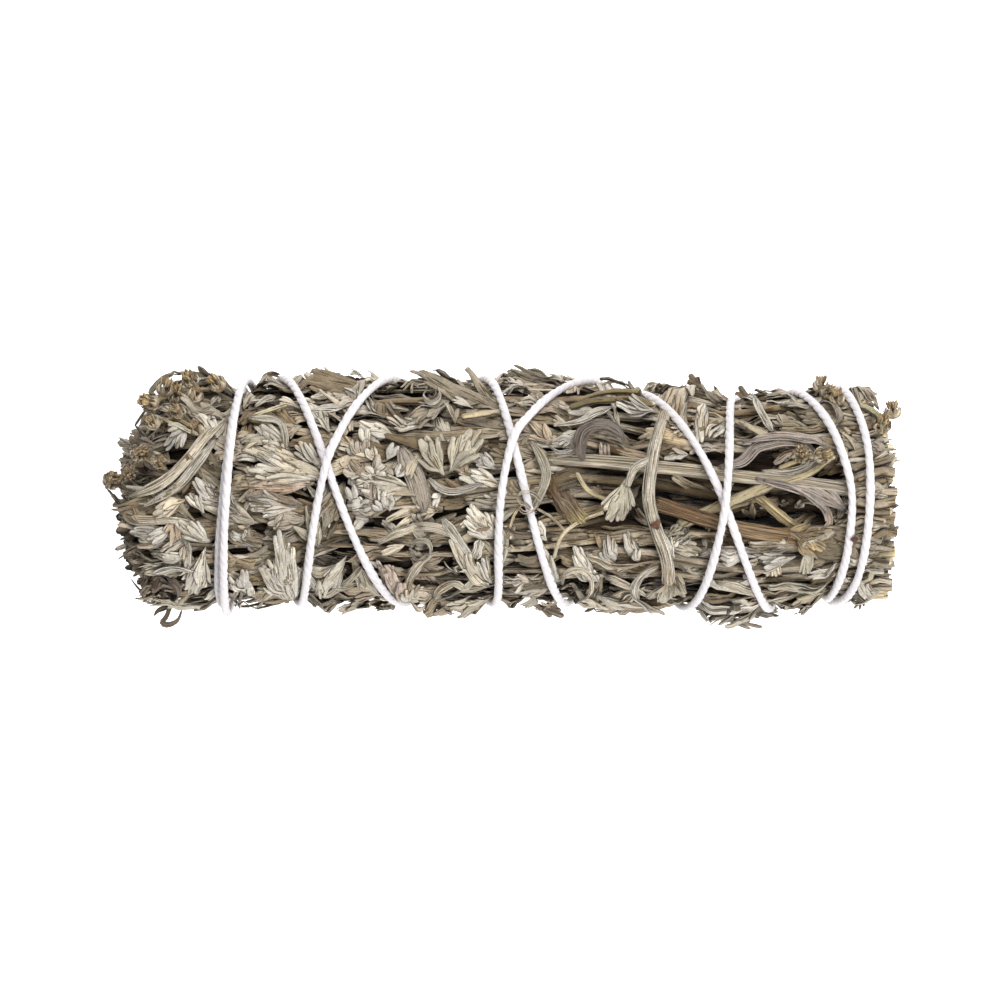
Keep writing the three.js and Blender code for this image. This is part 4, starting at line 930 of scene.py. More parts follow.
LAID_STRAPS = [  # way, height, ribs, half width, roll, twist, tint
    ([(-32.4, 9.4), (-30.1, 9.3), (-28.2, 8.9), (-27.5, 7.3), (-27.4, 4.8)], 1.9, 3, 0.5, 0, 0.5, "sage"),
    ([(-25.6, 10.3), (-22.9, 10.6), (-19.7, 10.8)], 1.2, 4, 0.65, 0, 0, "sage"),
    ([(-31.5, 10.8), (-30.2, 11.7), (-28.8, 12.1)], 1.5, 3, 0.55, 0, 0.3, "blue"),
    ([(-34.5, 10.1), (-37.6, 7.0), (-40.0, 3.9), (-43.3, 0.9), (-47.9, -1.0)],
     1.8, 4, 0.75, 0.1, 0.3, "straw"),
    ([(-36.2, 6.8), (-38.5, 3.7), (-41.3, 0.4), (-45.9, -2.2)], 1.7, 3, 0.6, -0.2, 0.4, "sage"),
    ([(-37.5, -4.7), (-42.0, -3.8), (-47.1, -3.7), (-48.7, -2.2)], 1.3, 3, 0.6, 0.2, 0.5, "straw"),
    ([(-38.7, -10.6), (-41.8, -10.1), (-44.8, -10.8)], 1.3, 4, 0.8, 0.1, 0.4, "sage"),
    ([(-45.4, -12.6), (-43.8, -11.6), (-42.0, -11.8), (-41.3, -13.1), (-42.3, -14.1), (-44.6, -14.1),
      (-45.4, -12.9)], 1.0, 3, 0.55, 1.2, 0.2, "dark"),
    ([(-32.6, -0.9), (-30.3, -0.4), (-27.8, -1.1), (-25.0, -1.9)], 1.3, 3, 0.55, 0.3, 0.4, "shade"),
    ([(-24.7, 0.9), (-23.2, -1.1), (-22.2, -3.4), (-22.7, -5.2)], 1.1, 3, 0.5, 0.2, 0.5, "olive"),
    ([(-20.4, -12.4), (-18.9, -11.1), (-17.6, -9.6)], 1.2, 3, 0.5, 0.2, 0.3, "olive"),
    ([(-12.7, 5.7), (-11.2, 2.7), (-10.2, -0.1), (-9.6, -2.9)], 1.2, 7, 1.4, 0, 0.25, "shade"),
    ([(-9.2, 1.7), (-7.6, 0.4), (-5.6, 0.0), (-2.0, 1.0)], 1.7, 4, 0.6, 0.2, -0.6, "blue"),
    ([(-7.4, -3.4), (-5.9, -5.5), (-3.4, -9.0)], 1.6, 3, 0.62, 0, 0.2, "sage"),
    ([(-15.8, -6.8), (-13.0, -5.4), (-9.9, -4.6), (-6.9, -5.1), (-4.1, -7.0)], 1.4, 4, 0.6, 0, 0.3, "straw"),
    ([(-3.2, -8.8), (-2.8, -7.3), (-2.5, -6.2)], 1.2, 4, 0.65, 0, 0, "sage"),
    ([(-9.6, 12.9), (-8.9, 13.6), (-7.9, 13.1), (-7.8, 12.0), (-8.8, 11.3), (-9.8, 12.1), (-9.4, 13.0)],
     1.8, 2, 0.4, 1.3, 0.0, "sage"),
    ([(-9.2, 12.6), (-8.5, 12.9), (-8.2, 12.4), (-8.7, 11.8), (-9.2, 12.4)], 1.9, 2, 0.3, 1.3, 0.0, "dark"),
    ([(-11.5, -7.3), (-10.7, -6.4), (-9.4, -6.4), (-8.8, -7.4), (-9.3, -8.5), (-10.7, -8.8), (-11.6, -7.8)],
     1.4, 3, 0.55, 1.2, 0.0, "olive"),
    ([(-12.2, -13.9), (-11.5, -11.1), (-9.7, -8.8), (-7.9, -7.8)], 1.5, 3, 0.55, 0.2, 0.4, "straw"),
    ([(-8.9, -13.9), (-6.6, -12.1), (-3.8, -11.6), (-1.3, -12.4)], 1.4, 3, 0.6, 0.1, 0.2, "straw"),
    ([(-0.3, -3.7), (0.3, -6.9), (-0.5, -10.1)], 1.1, 4, 0.8, 0.0, 0.2, "sage"),
    ([(3.8, 6.5), (5.1, 4.6), (5.9, 2.0), (4.8, -1.1), (3.1, -3.7)], 1.8, 3, 0.6, 0.1, 0.3, "olive"),
    ([(10.6, 3.7), (10.1, 5.7), (10.6, 7.5), (12.1, 8.4), (14.0, 8.2), (15.3, 7.3), (15.9, 6.0)],
     3.4, 6, 0.95, 0.1, 0.3, "plum"),
    ([(7.1, 8.3), (10.2, 9.0), (12.2, 10.1), (14.5, 10.8)], 1.9, 4, 0.7, 0.2, 0.3, "sage"),
    ([(5.7, 6.1), (7.6, 5.0), (9.4, 5.5), (8.4, 6.8), (6.6, 6.2)], 1.6, 2, 0.45, 0.7, 0.4, "blue"),
    ([(7.9, -12.1), (8.4, -10.6), (10.2, -10.1), (11.7, -11.3), (11.5, -13.4), (9.9, -14.1), (8.4, -13.4)],
     1.7, 3, 0.5, 0.9, 0.2, "straw"),
    ([(12.7, -10.7), (15.0, -11.6), (17.1, -12.6), (19.4, -13.9)], 1.3, 3, 0.5, 0.2, 0.4, "straw"),
    ([(11.0, -8.3), (12.7, -8.8), (15.0, -10.1)], 1.4, 3, 0.6, 0.2, 0.2, "straw"),
    ([(26.0, 13.9), (26.8, 12.6), (28.3, 11.6), (30.3, 11.6), (32.1, 12.2)], 2.2, 3, 0.5, 0.5, 0.2, "straw"),
    ([(32.7, 12.4), (33.4, 10.3), (34.9, 7.5)], 2.6, 3, 0.55, 0.2, 0.2, "sage"),
    ([(30.3, 11.8), (31.6, 12.1), (33.1, 12.0)], 2.4, 3, 0.6, 0.1, 0.2, "sage"),
    ([(30.8, 6.0), (33.8, 6.9), (37.6, 7.0), (42.4, 5.4)], 2.9, 4, 0.7, 0.1, 0.2, "purple"),
    ([(27.8, 2.9), (30.8, 3.9), (33.6, 5.7), (36.7, 6.4), (39.7, 5.2), (42.3, 3.6)],
     2.7, 5, 0.85, 0.1, 0.2, "purple"),
    ([(33.4, 2.5), (36.2, 2.2), (39.0, 2.9), (41.5, 4.6)], 2.5, 4, 0.7, 0.1, 0.2, "sage"),
    ([(32.6, 1.6), (36.0, 1.4), (39.4, 0.6), (42.2, -0.9), (44.4, -2.6)], 2.7, 7, 1.25, 0.1, 0.2, "purple"),
    ([(38.3, -1.6), (39.5, -1.2), (41.0, -1.6), (42.0, -2.9), (42.1, -4.5), (41.0, -5.5)],
     1.9, 4, 0.6, 0.5, 0.3, "rust"),
    ([(38.4, -6.9), (40.6, -6.2), (43.0, -5.4)], 2.0, 4, 0.6, 0.2, 0.6, "straw"),
    ([(34.9, 3.6), (36.7, 4.8), (39.0, 5.0), (40.5, 4.2)], 2.6, 3, 0.6, 0.1, 0.2, "rust"),
    ([(33.6, 1.4), (36.9, 0.9), (40.0, -0.9), (42.3, -3.2)], 3.0, 3, 0.5, 0.1, 0.6, "purple"),
    ([(25.5, 3.2), (28.0, 2.2), (31.1, 2.3)], 1.6, 3, 0.5, 0.2, 0.2, "blue"),
    ([(25.5, -8.3), (29.3, -7.5), (33.4, -7.8)], 1.9, 3, 0.5, 0.1, 0.2, "purple"),
    ([(27.5, -11.6), (31.8, -12.9), (35.2, -14.1), (38.2, -13.5)], 1.5, 4, 0.7, 0.1, 0.2, "straw"),
    ([(23.2, -15.2), (26.8, -15.4), (31.2, -15.9), (35.7, -15.7)], 0.8, 5, 0.9, 0.2, 0.2, "shade"),
    ([(31.3, -10.6), (32.6, -12.4), (33.4, -13.9)], 1.9, 3, 0.55, 0.1, 0.2, "rust"),
    ([(41.0, 11.8), (42.6, 11.3), (43.6, 9.8), (43.1, 8.5)], 2.0, 3, 0.45, 0.4, 0.5, "shade"),
    ([(43.3, -3.7), (44.3, -1.1), (44.8, 1.4)], 1.6, 3, 0.5, 0.1, 0.4, "olive"),
    ([(49.6, -0.9), (48.2, -0.6), (46.9, 0.9)], 1.6, 3, 0.6, 0.2, 0.6, "straw"),
    ([(18.9, -13.9), (20.6, -12.9), (21.7, -11.6), (21.4, -10.1)], 1.6, 4, 0.75, 0.0, 0.3, "straw"),
    ([(17.8, -14.4), (17.3, -12.4), (18.6, -10.6), (20.4, -9.6)], 1.5, 3, 0.6, 0.1, 0.3, "sage"),
]
LAID_STALKS = [  # way, height, radii, colour
    ([(-47.5, 11.2), (-44.6, 9.8), (-41.8, 8.5), (-39.5, 7.5)], 1.9, (0.22, 0.32), "#b1a991"),
    ([(-32.5, 9.2), (-30.1, 10.1), (-27.5, 11.0)], 1.7, (0.3, 0.36), "#b6ac8e"),
    ([(8.8, 10.6), (12.2, 11.5), (16.7, 11.6), (19.5, 10.9)], 2.1, (0.45, 0.6), "#665938"),
    ([(9.6, 11.4), (13.0, 12.5), (17.0, 12.7), (20.2, 11.6)], 1.9, (0.35, 0.5), "#736441"),
    ([(9.7, 2.4), (11.2, 0.1), (13.5, -1.1)], 2.2, (0.3, 0.36), "#aa9c78"),
    ([(6.8, -8.8), (7.9, -5.7), (10.2, -3.9), (13.2, -2.7)], 1.7, (0.28, 0.3), "#b4a689"),
    ([(-5.0, 9.4), (-2.3, 9.8), (0.4, 10.1)], 1.6, (0.5, 0.5), "#baae92"),
    ([(35.7, 0.9), (39.5, 2.2), (42.8, 4.6)], 2.6, (0.5, 0.5), "#9c8f70"),
    ([(44.6, 11.8), (47.1, 10.8), (48.9, 9.0), (49.2, 7.0)], 1.7, (0.55, 0.45), "#9c9474"),
    ([(22.4, -4.4), (26.0, -2.9), (29.6, -1.3), (34.7, 0.8), (39.0, 2.9), (42.9, 4.7)],
     1.9, (0.9, 0.62), "#998d70"),
    ([(25.5, 7.8), (29.3, 9.0), (34.1, 7.3)], 1.0, (0.6, 0.6), "#8f8164"),
    ([(30.1, 9.0), (32.1, 8.0), (34.4, 6.8)], 1.8, (0.45, 0.5), "#a2967d"),
    ([(43.3, 6.5), (44.3, 5.0), (43.6, 3.7)], 2.4, (0.25, 0.25), "#a99c74"),
    ([(3.1, -1.1), (1.8, -3.1), (1.0, -5.6)], 1.9, (0.2, 0.25), "#c5b493"),
    ([(4.6, -2.2), (6.6, -3.4), (8.4, -5.2)], 1.7, (0.2, 0.2), "#ac9e84"),
    ([(38.2, -13.9), (43.3, -12.4), (48.9, -11.1)], 1.2, (0.45, 0.5), "#a49c82"),
    ([(43.6, 7.8), (44.8, 6.5), (45.6, 5.2)], 1.9, (0.2, 0.22), "#aa9d82"),
]
FREE_CURLS = [  # x, y and height over the table, half width, tint
    ([(-42.9, -14.4, 11.5), (-43.1, -15.2, 12.2), (-43.6, -16.6, 12.6), (-44.2, -17.3, 12.5),
      (-43.3, -17.6, 12.4), (-42.1, -17.0, 12.2), (-41.6, -15.7, 11.8)], 0.3, "dark"),
    ([(-43.0, -14.6, 11.6), (-43.7, -15.3, 12.0), (-44.6, -15.7, 12.2), (-45.2, -16.3, 12.3)], 0.28, "dark"),
    ([(-45.8, 12.6, 12.5), (-44.2, 14.3, 14.0), (-42.4, 15.2, 14.6)], 0.35, "shade"),
    ([(-31.0, 12.4, 12.6), (-30.9, 14.4, 14.0), (-29.8, 15.1, 14.8), (-28.6, 14.8, 15.2)], 0.32, "dark"),
    ([(3.9, -2.6, 29.4), (3.3, -1.9, 30.3), (2.6, -1.7, 30.6), (2.2, -0.9, 30.5), (2.9, -0.3, 30.4),
      (4.2, -0.5, 30.2), (5.2, -1.6, 29.4)], 0.12, "straw"),
    ([(2.3, -2.3, 29.4), (3.0, -2.9, 30.2), (4.1, -2.7, 30.2), (4.7, -1.9, 29.8), (4.4, -1.3, 29.4)],
     0.1, "rust"),
]
HANGING_LEAVES = [  # root, middle tip, roll, lobes, spread, half width, tint
    ((23.6, -14.2, 12.4), (36.4, -16.4, 12.0), 0.2, 7, 11, 0.42, "olive"),
    ((25.4, -14.8, 11.8), (34.6, -16.9, 11.4), 0.1, 6, 13, 0.4, "shade"),
    ((28.6, -14.4, 13.0), (36.6, -15.6, 12.8), 0.3, 6, 20, 0.4, "sage"),
    ((30.4, -14.6, 12.8), (35.6, -16.0, 12.6), 0.5, 5, 30, 0.36, "blue"),
    ((4.0, -14.2, 12.6), (9.0, -15.8, 12.0), 0.2, 4, 30, 0.45, "shade"),
    ((27.0, 13.4, 13.4), (24.2, 15.6, 14.2), 0.2, 4, 40, 0.4, "dark"),
    ((33.6, 11.4, 12.4), (30.8, 13.8, 13.8), 0.2, 4, 40, 0.4, "dark"),
]
LOOSE_SEED = (45.3, -6.2, 14.2)  # x, y, distance
SCALES_MIDDLE = (-16.3, 0.8)  # x, y
SCALES_SIZE = (3.1, 5.2)
TINTS = {name: linear(code) for name, code in (
    ("sage", "#bdb6a8"), ("blue", "#b0aaa0"), ("straw", "#bcb19d"), ("rust", "#b19f8f"),
    ("olive", "#a29a88"), ("shade", "#958a7c"), ("dark", "#756655"), ("purple", "#9d9187"),
    ("splinter", "#a08b68"), ("plum", "#71665c"))}


def sector_of(x, turn):
    """The outer sprig that a place belongs to."""
    for index in range(OUTER_SPRIGS):
        if (turn - sprig_border(index, x)) % 360 < (sprig_border(index + 1, x) - sprig_border(index, x)):
            return index
    return 0


def turn_above(x, y, distance=14.4):
    """The turn of a place on the upper side that is seen at an x and y."""
    return math.degrees(math.asin(max(-STEEPEST, min(STEEPEST, (y - sag(x)) / distance))))


def part_way(x, y, heading, run):
    """The x and y that lie a run further along a heading."""
    return x + run * math.cos(math.radians(heading)), y + run * math.sin(math.radians(heading))


# where a laid leaf or a bare stem shows, so that the sown leaves leave room
covered = np.array([part_way(x, y, heading, 0.5 * length) for x, y, heading, length, *_ in LAID_FANS]
                   + [spot for way, *_ in LAID_STRAPS for spot in way])
STEM_SPOTS = np.array([
    (7, 1), (8.5, -1.5), (10, -3.8), (19.4, 5.5), (19, 3), (19, 0), (20, -5), (21, -9), (24, -3),
    (28, -4), (34, -5.5), (39, -6.2), (14, 3.6), (25, 3), (31, 2), (37, 1.2), (16.5, 1)])
# the second colour is the painted shade along the strips' low edges
outer_leaf = leaf_finish("outer leaves", "#43331f", "#95876d")
BROWNING = np.array([1, 1.13, 1.4])


def dulled(tint, share):
    """A tint made darker, and browner with it."""
    return np.array(tint) * share ** BROWNING


SIDE_TURNS = (62, 118)  # on the sides the leaves are nearly as light as they come
AGES = [1, 1, 0.95, 0.88, 0.75, 0.6, 0.45]
END_SHADE_X = (-42, 43)
END_SHADE = 0.55


def leaf_tint(x, turn, *palettes):
    """A leaf's colour: browner and darker for some, and in the shade of the hollow and the two ends."""
    palette = palettes[int(rng.integers(len(palettes)))]
    tint = palette[int(rng.integers(len(palette)))]
    if SIDE_TURNS[0] < abs(wrapped(turn)) < SIDE_TURNS[1]:
        return dulled(tint, rng.uniform(0.8, 1))
    share = rng.choice(AGES)
    if (x < END_SHADE_X[0] or x > END_SHADE_X[1]) and rng.uniform() < 0.55:
        share *= END_SHADE
    return dulled(tint, share * max(1 - rng.uniform(0, 0.5) * hollow(x, turn) / HOLLOW_DEPTH, 0.1))


def held(reach, x, turn, press, clearance):
    """A distance from the axis, but under the string by press and over the table by a clearance."""
    return np.minimum(np.minimum(reach, under_string(x, turn) - press), floor_distance(turn, clearance))


GOLDEN_SHARE = 0.618
CRUSHED_ROWS, CRUSHED_STATIONS = 7, 50  # how many, and points along each
LONG_STEMS, STEM_STATIONS = 7, 20
LEAF_STRIPS = 36
STRIPS_X, STRIPS_RUN = -44, 96  # sown from this x, over this length
LEAF_LAYERS = ((-1, 16), (0, 36), (1, 37))  # the layer, and how many divided leaves
LEAVES_X, LEAVES_RUN = -48, 101
NARROW_FROM_X = 6  # where the long narrow leaves get common
UPPER_TURN = 80
STEM_ROOM = 2.8  # how near a bare stem no leaf of the top layer is laid
LEAF_ROOM = 2.6  # how near a leaf that shows the sown ones lie lower
CURL_STATIONS = 18
CURL_DOUBLING = (0.1, 0.3, 0.2)  # from a curl's first strip to its second
PRESSED_SCALES = 58
SMALL_LOBES = 34
END_TIPS, END_X = 20, -49.8
CUT_LEAVES = 48


def lay_crushed_leaf(sprig, index):
    """The crushed leaf underneath, which shows dark between the others: its dark colour is painted shade,
    darker still in the hollow.
    """
    for row in range(CRUSHED_ROWS):
        share = (row + 0.5) / CRUSHED_ROWS
        x = np.linspace(leafy_end(turn_in(index, -46, share)) + 3.4,
                        cut_end(turn_in(index, 48, share)) - 1.6, CRUSHED_STATIONS)[None]
        turn = turn_in(index, x, share) + 2 * np.sin(x / rng.uniform(3, 6) + rng.uniform(0, 6))
        reach = held(leaf_bed(x, turn) - 1.5 - 0.35 * hollow(x, turn), x, turn, 0.9, 1.0)
        reach = reach + 0.3 * np.sin(x / rng.uniform(1.2, 3) + row)
        depth = np.maximum(reach - 6.4, 0.6) / 2
        lump = 1 + 0.12 * rng.normal(0, 1, x.shape)
        shade = np.maximum(1 - 0.25 * hollow(x, turn), 0.2)[..., None]
        sprig.add(to_space(x, turn, reach - depth), outward(turn), 1.15 * lump, depth,
                  SHADED[row % len(SHADED)] * shade, section=round_section(8, 0.1), seed=10 * index + row)


def lay_long_stems(sprig, index):
    """Long stems, cut off at +X."""
    for share in rng.uniform(0.08, 0.92, LONG_STEMS):
        x0, x1 = rng.uniform(-42, 20), cut_end(turn_in(index, 50, share)) + rng.uniform(-1.2, 0.5)
        x = np.linspace(x0, x1, STEM_STATIONS)[None]
        turn = turn_in(index, x, share) + rng.normal(0, 5) * np.sin(x / 14 + rng.uniform(0, 6))
        reach = held(leaf_bed(x, turn) + rng.uniform(-1.3, 0.1), x, turn, 0.8, 0.9)
        radius = rng.uniform(0.4, 0.95) * (0.7 + 0.3 * np.linspace(0, 1, STEM_STATIONS))[None]
        # painted shade: the stems darken a little in the hollow
        bark = dulled(leaf_tint(0, 0, STRAW, SAGE), np.maximum(1 - 0.1 * hollow(x, turn), 0.3)[..., None])
        bark[:, -1] = PITH
        sprig.add(to_space(x, turn, reach), outward(turn), radius, 0.8 * radius, bark,
                  section=round_section(8, 0.1), cut=True)


def lay_strips(sprig, index):
    """Narrow leaf strips that lie lengthwise."""
    for order in range(LEAF_STRIPS):
        x = STRIPS_X + STRIPS_RUN * (order + rng.uniform(0, 1)) / LEAF_STRIPS
        length = rng.uniform(8, 17)
        turn = turn_in(index, x, rng.uniform(0.02, 0.98))
        length = min(length, x - leafy_end(turn))
        if length < 4:
            continue
        fan(sprig, min(x + 4, cut_end(turn) + rng.uniform(-0.8, 0.4)), turn, 180 + rng.normal(0, 11), length,
            1, 0, rng.uniform(0.35, 0.55), rng.uniform(-0.9, 0.4),
            dulled(leaf_tint(x - 4, turn, SAGE, STRAW), rng.uniform(0.45, 1)),
            roll=rng.normal(0, 0.5), tuck=rng.uniform(0.1, 0.5), dip=0.3, bend=rng.normal(0, 0.06), teeth=4,
            stations=9)


def lay_divided_leaf(sprig, index, layer, order, leaves):
    """One divided leaf of a layer: to the left more often a broad one, to the right a long narrow one."""
    x = LEAVES_X + LEAVES_RUN * (order + rng.uniform(0, 1)) / leaves
    share = (order * GOLDEN_SHARE + rng.uniform(0, 0.25) + 0.3 * layer) % 1.0
    turn = turn_in(index, x, share)
    narrow = rng.uniform() < (0.6 if x > NARROW_FROM_X else 0.25)
    length = rng.uniform(6, 14) if narrow else 4.2 + rng.gamma(3.2, 1.15)
    spread = rng.uniform(6, 22) if narrow else rng.uniform(24, 56)
    heading = 180 + rng.normal(0, 12 if narrow else 28)
    if rng.uniform() < 0.1:
        heading += rng.choice([-90, 90, 180])
    end = x + length * math.cos(math.radians(heading))
    if end < leafy_end(turn):
        x += leafy_end(turn) - end + rng.uniform(0, 2)
    if end > cut_end(turn) or x > cut_end(turn):
        x = cut_end(turn) + min(x - end, 0) - rng.uniform(0, 0.8)
    height = 0.1 + 0.7 * layer + rng.uniform(0, 0.5)
    # the lowest layer, under the others, is painted darker and browner as painted shade
    tint = dulled(leaf_tint(x, turn, SAGE, SAGE, STRAW), 0.5 if layer < 0 else 1)
    if hollow(x - 3, turn) > 0.5 * HOLLOW_DEPTH:
        if rng.uniform() < 0.4:
            return
        height -= 0.9
    if abs(wrapped(turn)) < UPPER_TURN:
        spot = part_way(x, 14 * math.sin(math.radians(turn)), heading, 0.5 * length)
        if np.hypot(*(STEM_SPOTS - spot).T).min() < STEM_ROOM and layer > 0:
            return
        if np.hypot(*(covered - spot).T).min() < LEAF_ROOM:
            height -= 0.75
    fan(sprig, x, turn, heading, length, int(rng.integers(2, 4) if narrow else rng.integers(3, 6)), spread,
        rng.uniform(0.4, 0.6), height, tint,
        roll=rng.normal(0, 0.35), curl=rng.normal(0.1, 0.5), fold=rng.normal(0, 0.2),
        dip=rng.uniform(0.8, 2.0), tuck=rng.uniform(0, 0.35), bend=rng.normal(0, 0.12),
        straight=rng.uniform(0, 0.8), palm=rng.uniform(0.4, 0.62), crumple=rng.uniform(0.15, 0.4),
        teeth=int(rng.integers(2, 4)), stations=9)


def is_in(index, x, y):
    """Whether a place seen from above belongs to this outer sprig."""
    return sector_of(x, turn_above(x, y)) == index


def lay_what_shows(sprig, index):
    """The leaves, bands and stems that show on top, and what stands or hangs out beyond the sides."""
    for x, y, heading, length, lobes, teeth, spread, half, height, roll, tint in LAID_FANS:
        if is_in(index, x, y):
            turn = turn_above(x, y)
            run = length * math.cos(math.radians(heading))
            tip_turn = turn_above(x + run, y + length * math.sin(math.radians(heading)))
            climb = LEAF_DISTANCE * math.radians(tip_turn - turn)
            span = math.hypot(run, climb)
            fan(sprig, x, turn, math.degrees(math.atan2(climb, run)), span, lobes, spread * length / span,
                half, height, TINTS[tint], roll=roll, dip=0.9, teeth=teeth, curl=rng.uniform(-0.2, 0.3),
                crumple=0.2, straight=0.3, palm=0.6, stations=15)
    for way, height, ribs, width, roll, twist, tint in LAID_STRAPS:
        if is_in(index, *way[len(way) // 2]):
            strap(sprig, way, height, ribs, width, TINTS[tint], roll, twist)
    for way, height, radii, tint in LAID_STALKS:
        if is_in(index, *way[len(way) // 2]):
            stalk(sprig, way, height, radii, linear(tint))
    for points, width, tint in FREE_CURLS:
        if is_in(index, *points[0][:2]):
            path = spine(points, CURL_STATIONS) + (0, AXIS_ASIDE, 0)
            t = np.linspace(0, 1, CURL_STATIONS)
            sprig.add(np.stack([path, path + CURL_DOUBLING]), (0, 0.2, 1), width * (1 - 0.6 * t ** 2), 0.12,
                      np.array(TINTS[tint]) * 0.8)
    for root, tip, roll, lobes, spread, half, tint in HANGING_LEAVES:
        if is_in(index, *root[:2]):
            loose_fan(sprig, root, tip, roll, lobes, spread, half, TINTS[tint], stations=10, curl=0.15)


def lay_seed(sprig, index):
    """A red-brown seed, caught by the string."""
    x, y, distance = LOOSE_SEED
    if is_in(index, x, y):
        long = np.linspace(-0.6, 0.6, 7)
        path = to_space(x + long, turn_above(x, y, distance), distance)
        sprig.add(path[None], (0, 0, 1), 0.42 * np.sin(np.linspace(0, np.pi, 7)), 0.45, linear("#4c3020"),
                  section=round_section(10), seed=index)


def lay_scales(sprig):
    """The small scales of a bud that the string presses flat."""
    for _ in range(PRESSED_SCALES):
        out, angle = math.sqrt(rng.uniform(0, 1)), rng.uniform(0, 2 * math.pi)
        x = SCALES_MIDDLE[0] + SCALES_SIZE[0] * out * math.cos(angle)
        y = SCALES_MIDDLE[1] + SCALES_SIZE[1] * out * math.sin(angle)
        fan(sprig, x, turn_above(x, y), 125 + rng.normal(0, 45), rng.uniform(1.8, 2.8), 1, 0,
            rng.uniform(0.6, 0.85), rng.uniform(1.0, 1.5), TINTS[rng.choice(["blue", "sage", "shade"])],
            roll=rng.normal(0, 0.18), curl=rng.uniform(-0.1, 0.3), dip=0.35, teeth=2, crumple=0.1,
            stations=8)


def lay_small_lobes(sprig, index):
    """Small lobes and crumbs among the leaves."""
    for _ in range(SMALL_LOBES):
        x = rng.uniform(-47, 50)
        turn = turn_in(index, x, rng.uniform(0, 1))
        fan(sprig, x, turn, rng.uniform(100, 260), rng.uniform(2.4, 5), int(rng.integers(2, 4)),
            rng.uniform(16, 50), rng.uniform(0.26, 0.42), rng.uniform(0.5, 1.3),
            leaf_tint(x, turn, SAGE, STRAW), roll=rng.normal(0, 0.5), curl=min(rng.normal(0.2, 0.5), 0.5),
            dip=0.7, tuck=rng.uniform(0, 0.3), teeth=2, stations=8)


def lay_end_tips(sprig, index):
    """The leaf tips that close the leafy end."""
    for order in range(END_TIPS):
        distance = rng.uniform(5, 12.5)
        turn = turn_in(index, -48, (order + 0.5) / END_TIPS)
        aside = math.sin(math.radians(turn))
        back = max(distance - 5 + 3.3 * max(aside, 0), 0) * (0.36 + 0.2 * max(aside, 0))
        tip_x = END_X + back + rng.uniform(-1.2, 1.2)
        root = to_space(tip_x + rng.uniform(2.5, 7), turn + rng.normal(0, 10), 0.92 * distance)
        tip = to_space(tip_x, turn + rng.normal(0, 10), distance + rng.uniform(-1, 1.2))
        tip[2] = max(tip[2], 0.4)
        loose_fan(sprig, root, tip, rng.uniform(-3, 3), int(rng.integers(3, 7)), rng.uniform(40, 80),
                  rng.uniform(0.45, 0.7), leaf_tint(tip_x, 0, SAGE, STRAW) * rng.uniform(0.7, 1.1), curl=0.3)


def lay_cut_leaves(sprig, index):
    """The leaves cut off at the other end."""
    for order in range(CUT_LEAVES):
        share = order * GOLDEN_SHARE % 1
        distance = 5.6 + 7.8 * ((order + rng.uniform(0, 1)) / CUT_LEAVES) ** 0.8
        end = cut_end(turn_in(index, 50, share)) + rng.uniform(-1.4, 0.6)
        x = np.linspace(end - 6, end, 5)[None]
        turn = turn_in(index, x, share) + rng.normal(0, 1.2, x.shape)
        reach = held(distance, x, turn, 0.8, 0.6)
        lean = unit(outward(turn) + rng.normal(0, 0.5, 3))
        radius = rng.uniform(0.35, 0.8)
        sprig.add(to_space(x, turn, reach), lean, radius, radius * rng.uniform(0.4, 0.9),
                  leaf_tint(0, 0, SAGE, STRAW) * rng.uniform(0.7, 1.1), section=round_section(6, 0.1),
                  cut=True)


for index in range(OUTER_SPRIGS):
    sprig = Cuttings()
    lay_crushed_leaf(sprig, index)
    lay_long_stems(sprig, index)
    lay_strips(sprig, index)
    for layer, leaves in LEAF_LAYERS:
        for order in range(leaves):
            lay_divided_leaf(sprig, index, layer, order, leaves)
    lay_what_shows(sprig, index)
    lay_seed(sprig, index)
    if index == 0:
        lay_scales(sprig)
    lay_small_lobes(sprig, index)
    lay_end_tips(sprig, index)
    lay_cut_leaves(sprig, index)
    sprig.piece(f"outer_leaves_{index + 1}", outer_leaf, f"leafy_sprig_{index + 1}", "leaves", deep_shaded=True)

# ----------------------------------------------------------------------------------------------------------
# The bare stems: woody stalks of wormwood that lie open in the hollow right of the bundle's middle. They are
# dried, ribbed lengthwise and broken off, and the string holds them down.

BARE_STEMS = {  # CAD way of (x, y, distance), radii, colours along it, ribs, fraying at its end, slot
    "long_stem": ([[5.3, 4.3, 12.7], [19, 3.2, 12], [27, 2.3, 11.6], [33.8, 1.5, 11.8], [50.6, -1.1, 11.2]],
                  (0.8, 0.9), ("#b4a893", "#c0b4a0", "#b0a591", "#a99f8f", "#9c9383"), 21, 0.5,
                  "grey_brown_stem"),
    "brown_stem": ([[19.5, -1.5, 12.7], [28, -4.2, 12.3], [34, -5.5, 12.2], [41, -6.4, 12]],
                   (0.9, 1.05), ("#7a644b", "#7c6248", "#846d52", "#9c8568", "#80664a", "#a4946f"), 25, 0.7,
                   "red_brown_stem"),
    "broken_stub": ([[6.4, 1.5, 12.7], [8.1, -1.3, 13.2], [10.0, -3.9, 13.2]],
                    (1.55, 1.3), ("#6a5336", "#654e34", "#705f50", "#6f5e49", "#a5956a"), 33, 0.55,
                    "red_brown_stem"),
    "crossing_stem_1": ([[24.6, -3.4, 10.6], [29, -1.9, 10.5], [33.6, -0.5, 10.6]],
                        (0.6, 0.6), ("#8f8468", "#9a8f72", "#8c8166"), 9, 0.1, "green_stem"),
    "crossing_stem_2": ([[31.8, 0.2, 10.7], [34.8, -2.2, 11.4], [38.3, -4.9, 10.7]],
                        (0.55, 0.6), ("#9b8b69", "#948465"), 9, 0.1, "green_stem"),
}
RIBBED_STATIONS = 34
OLD_PITH = linear("#bba983")


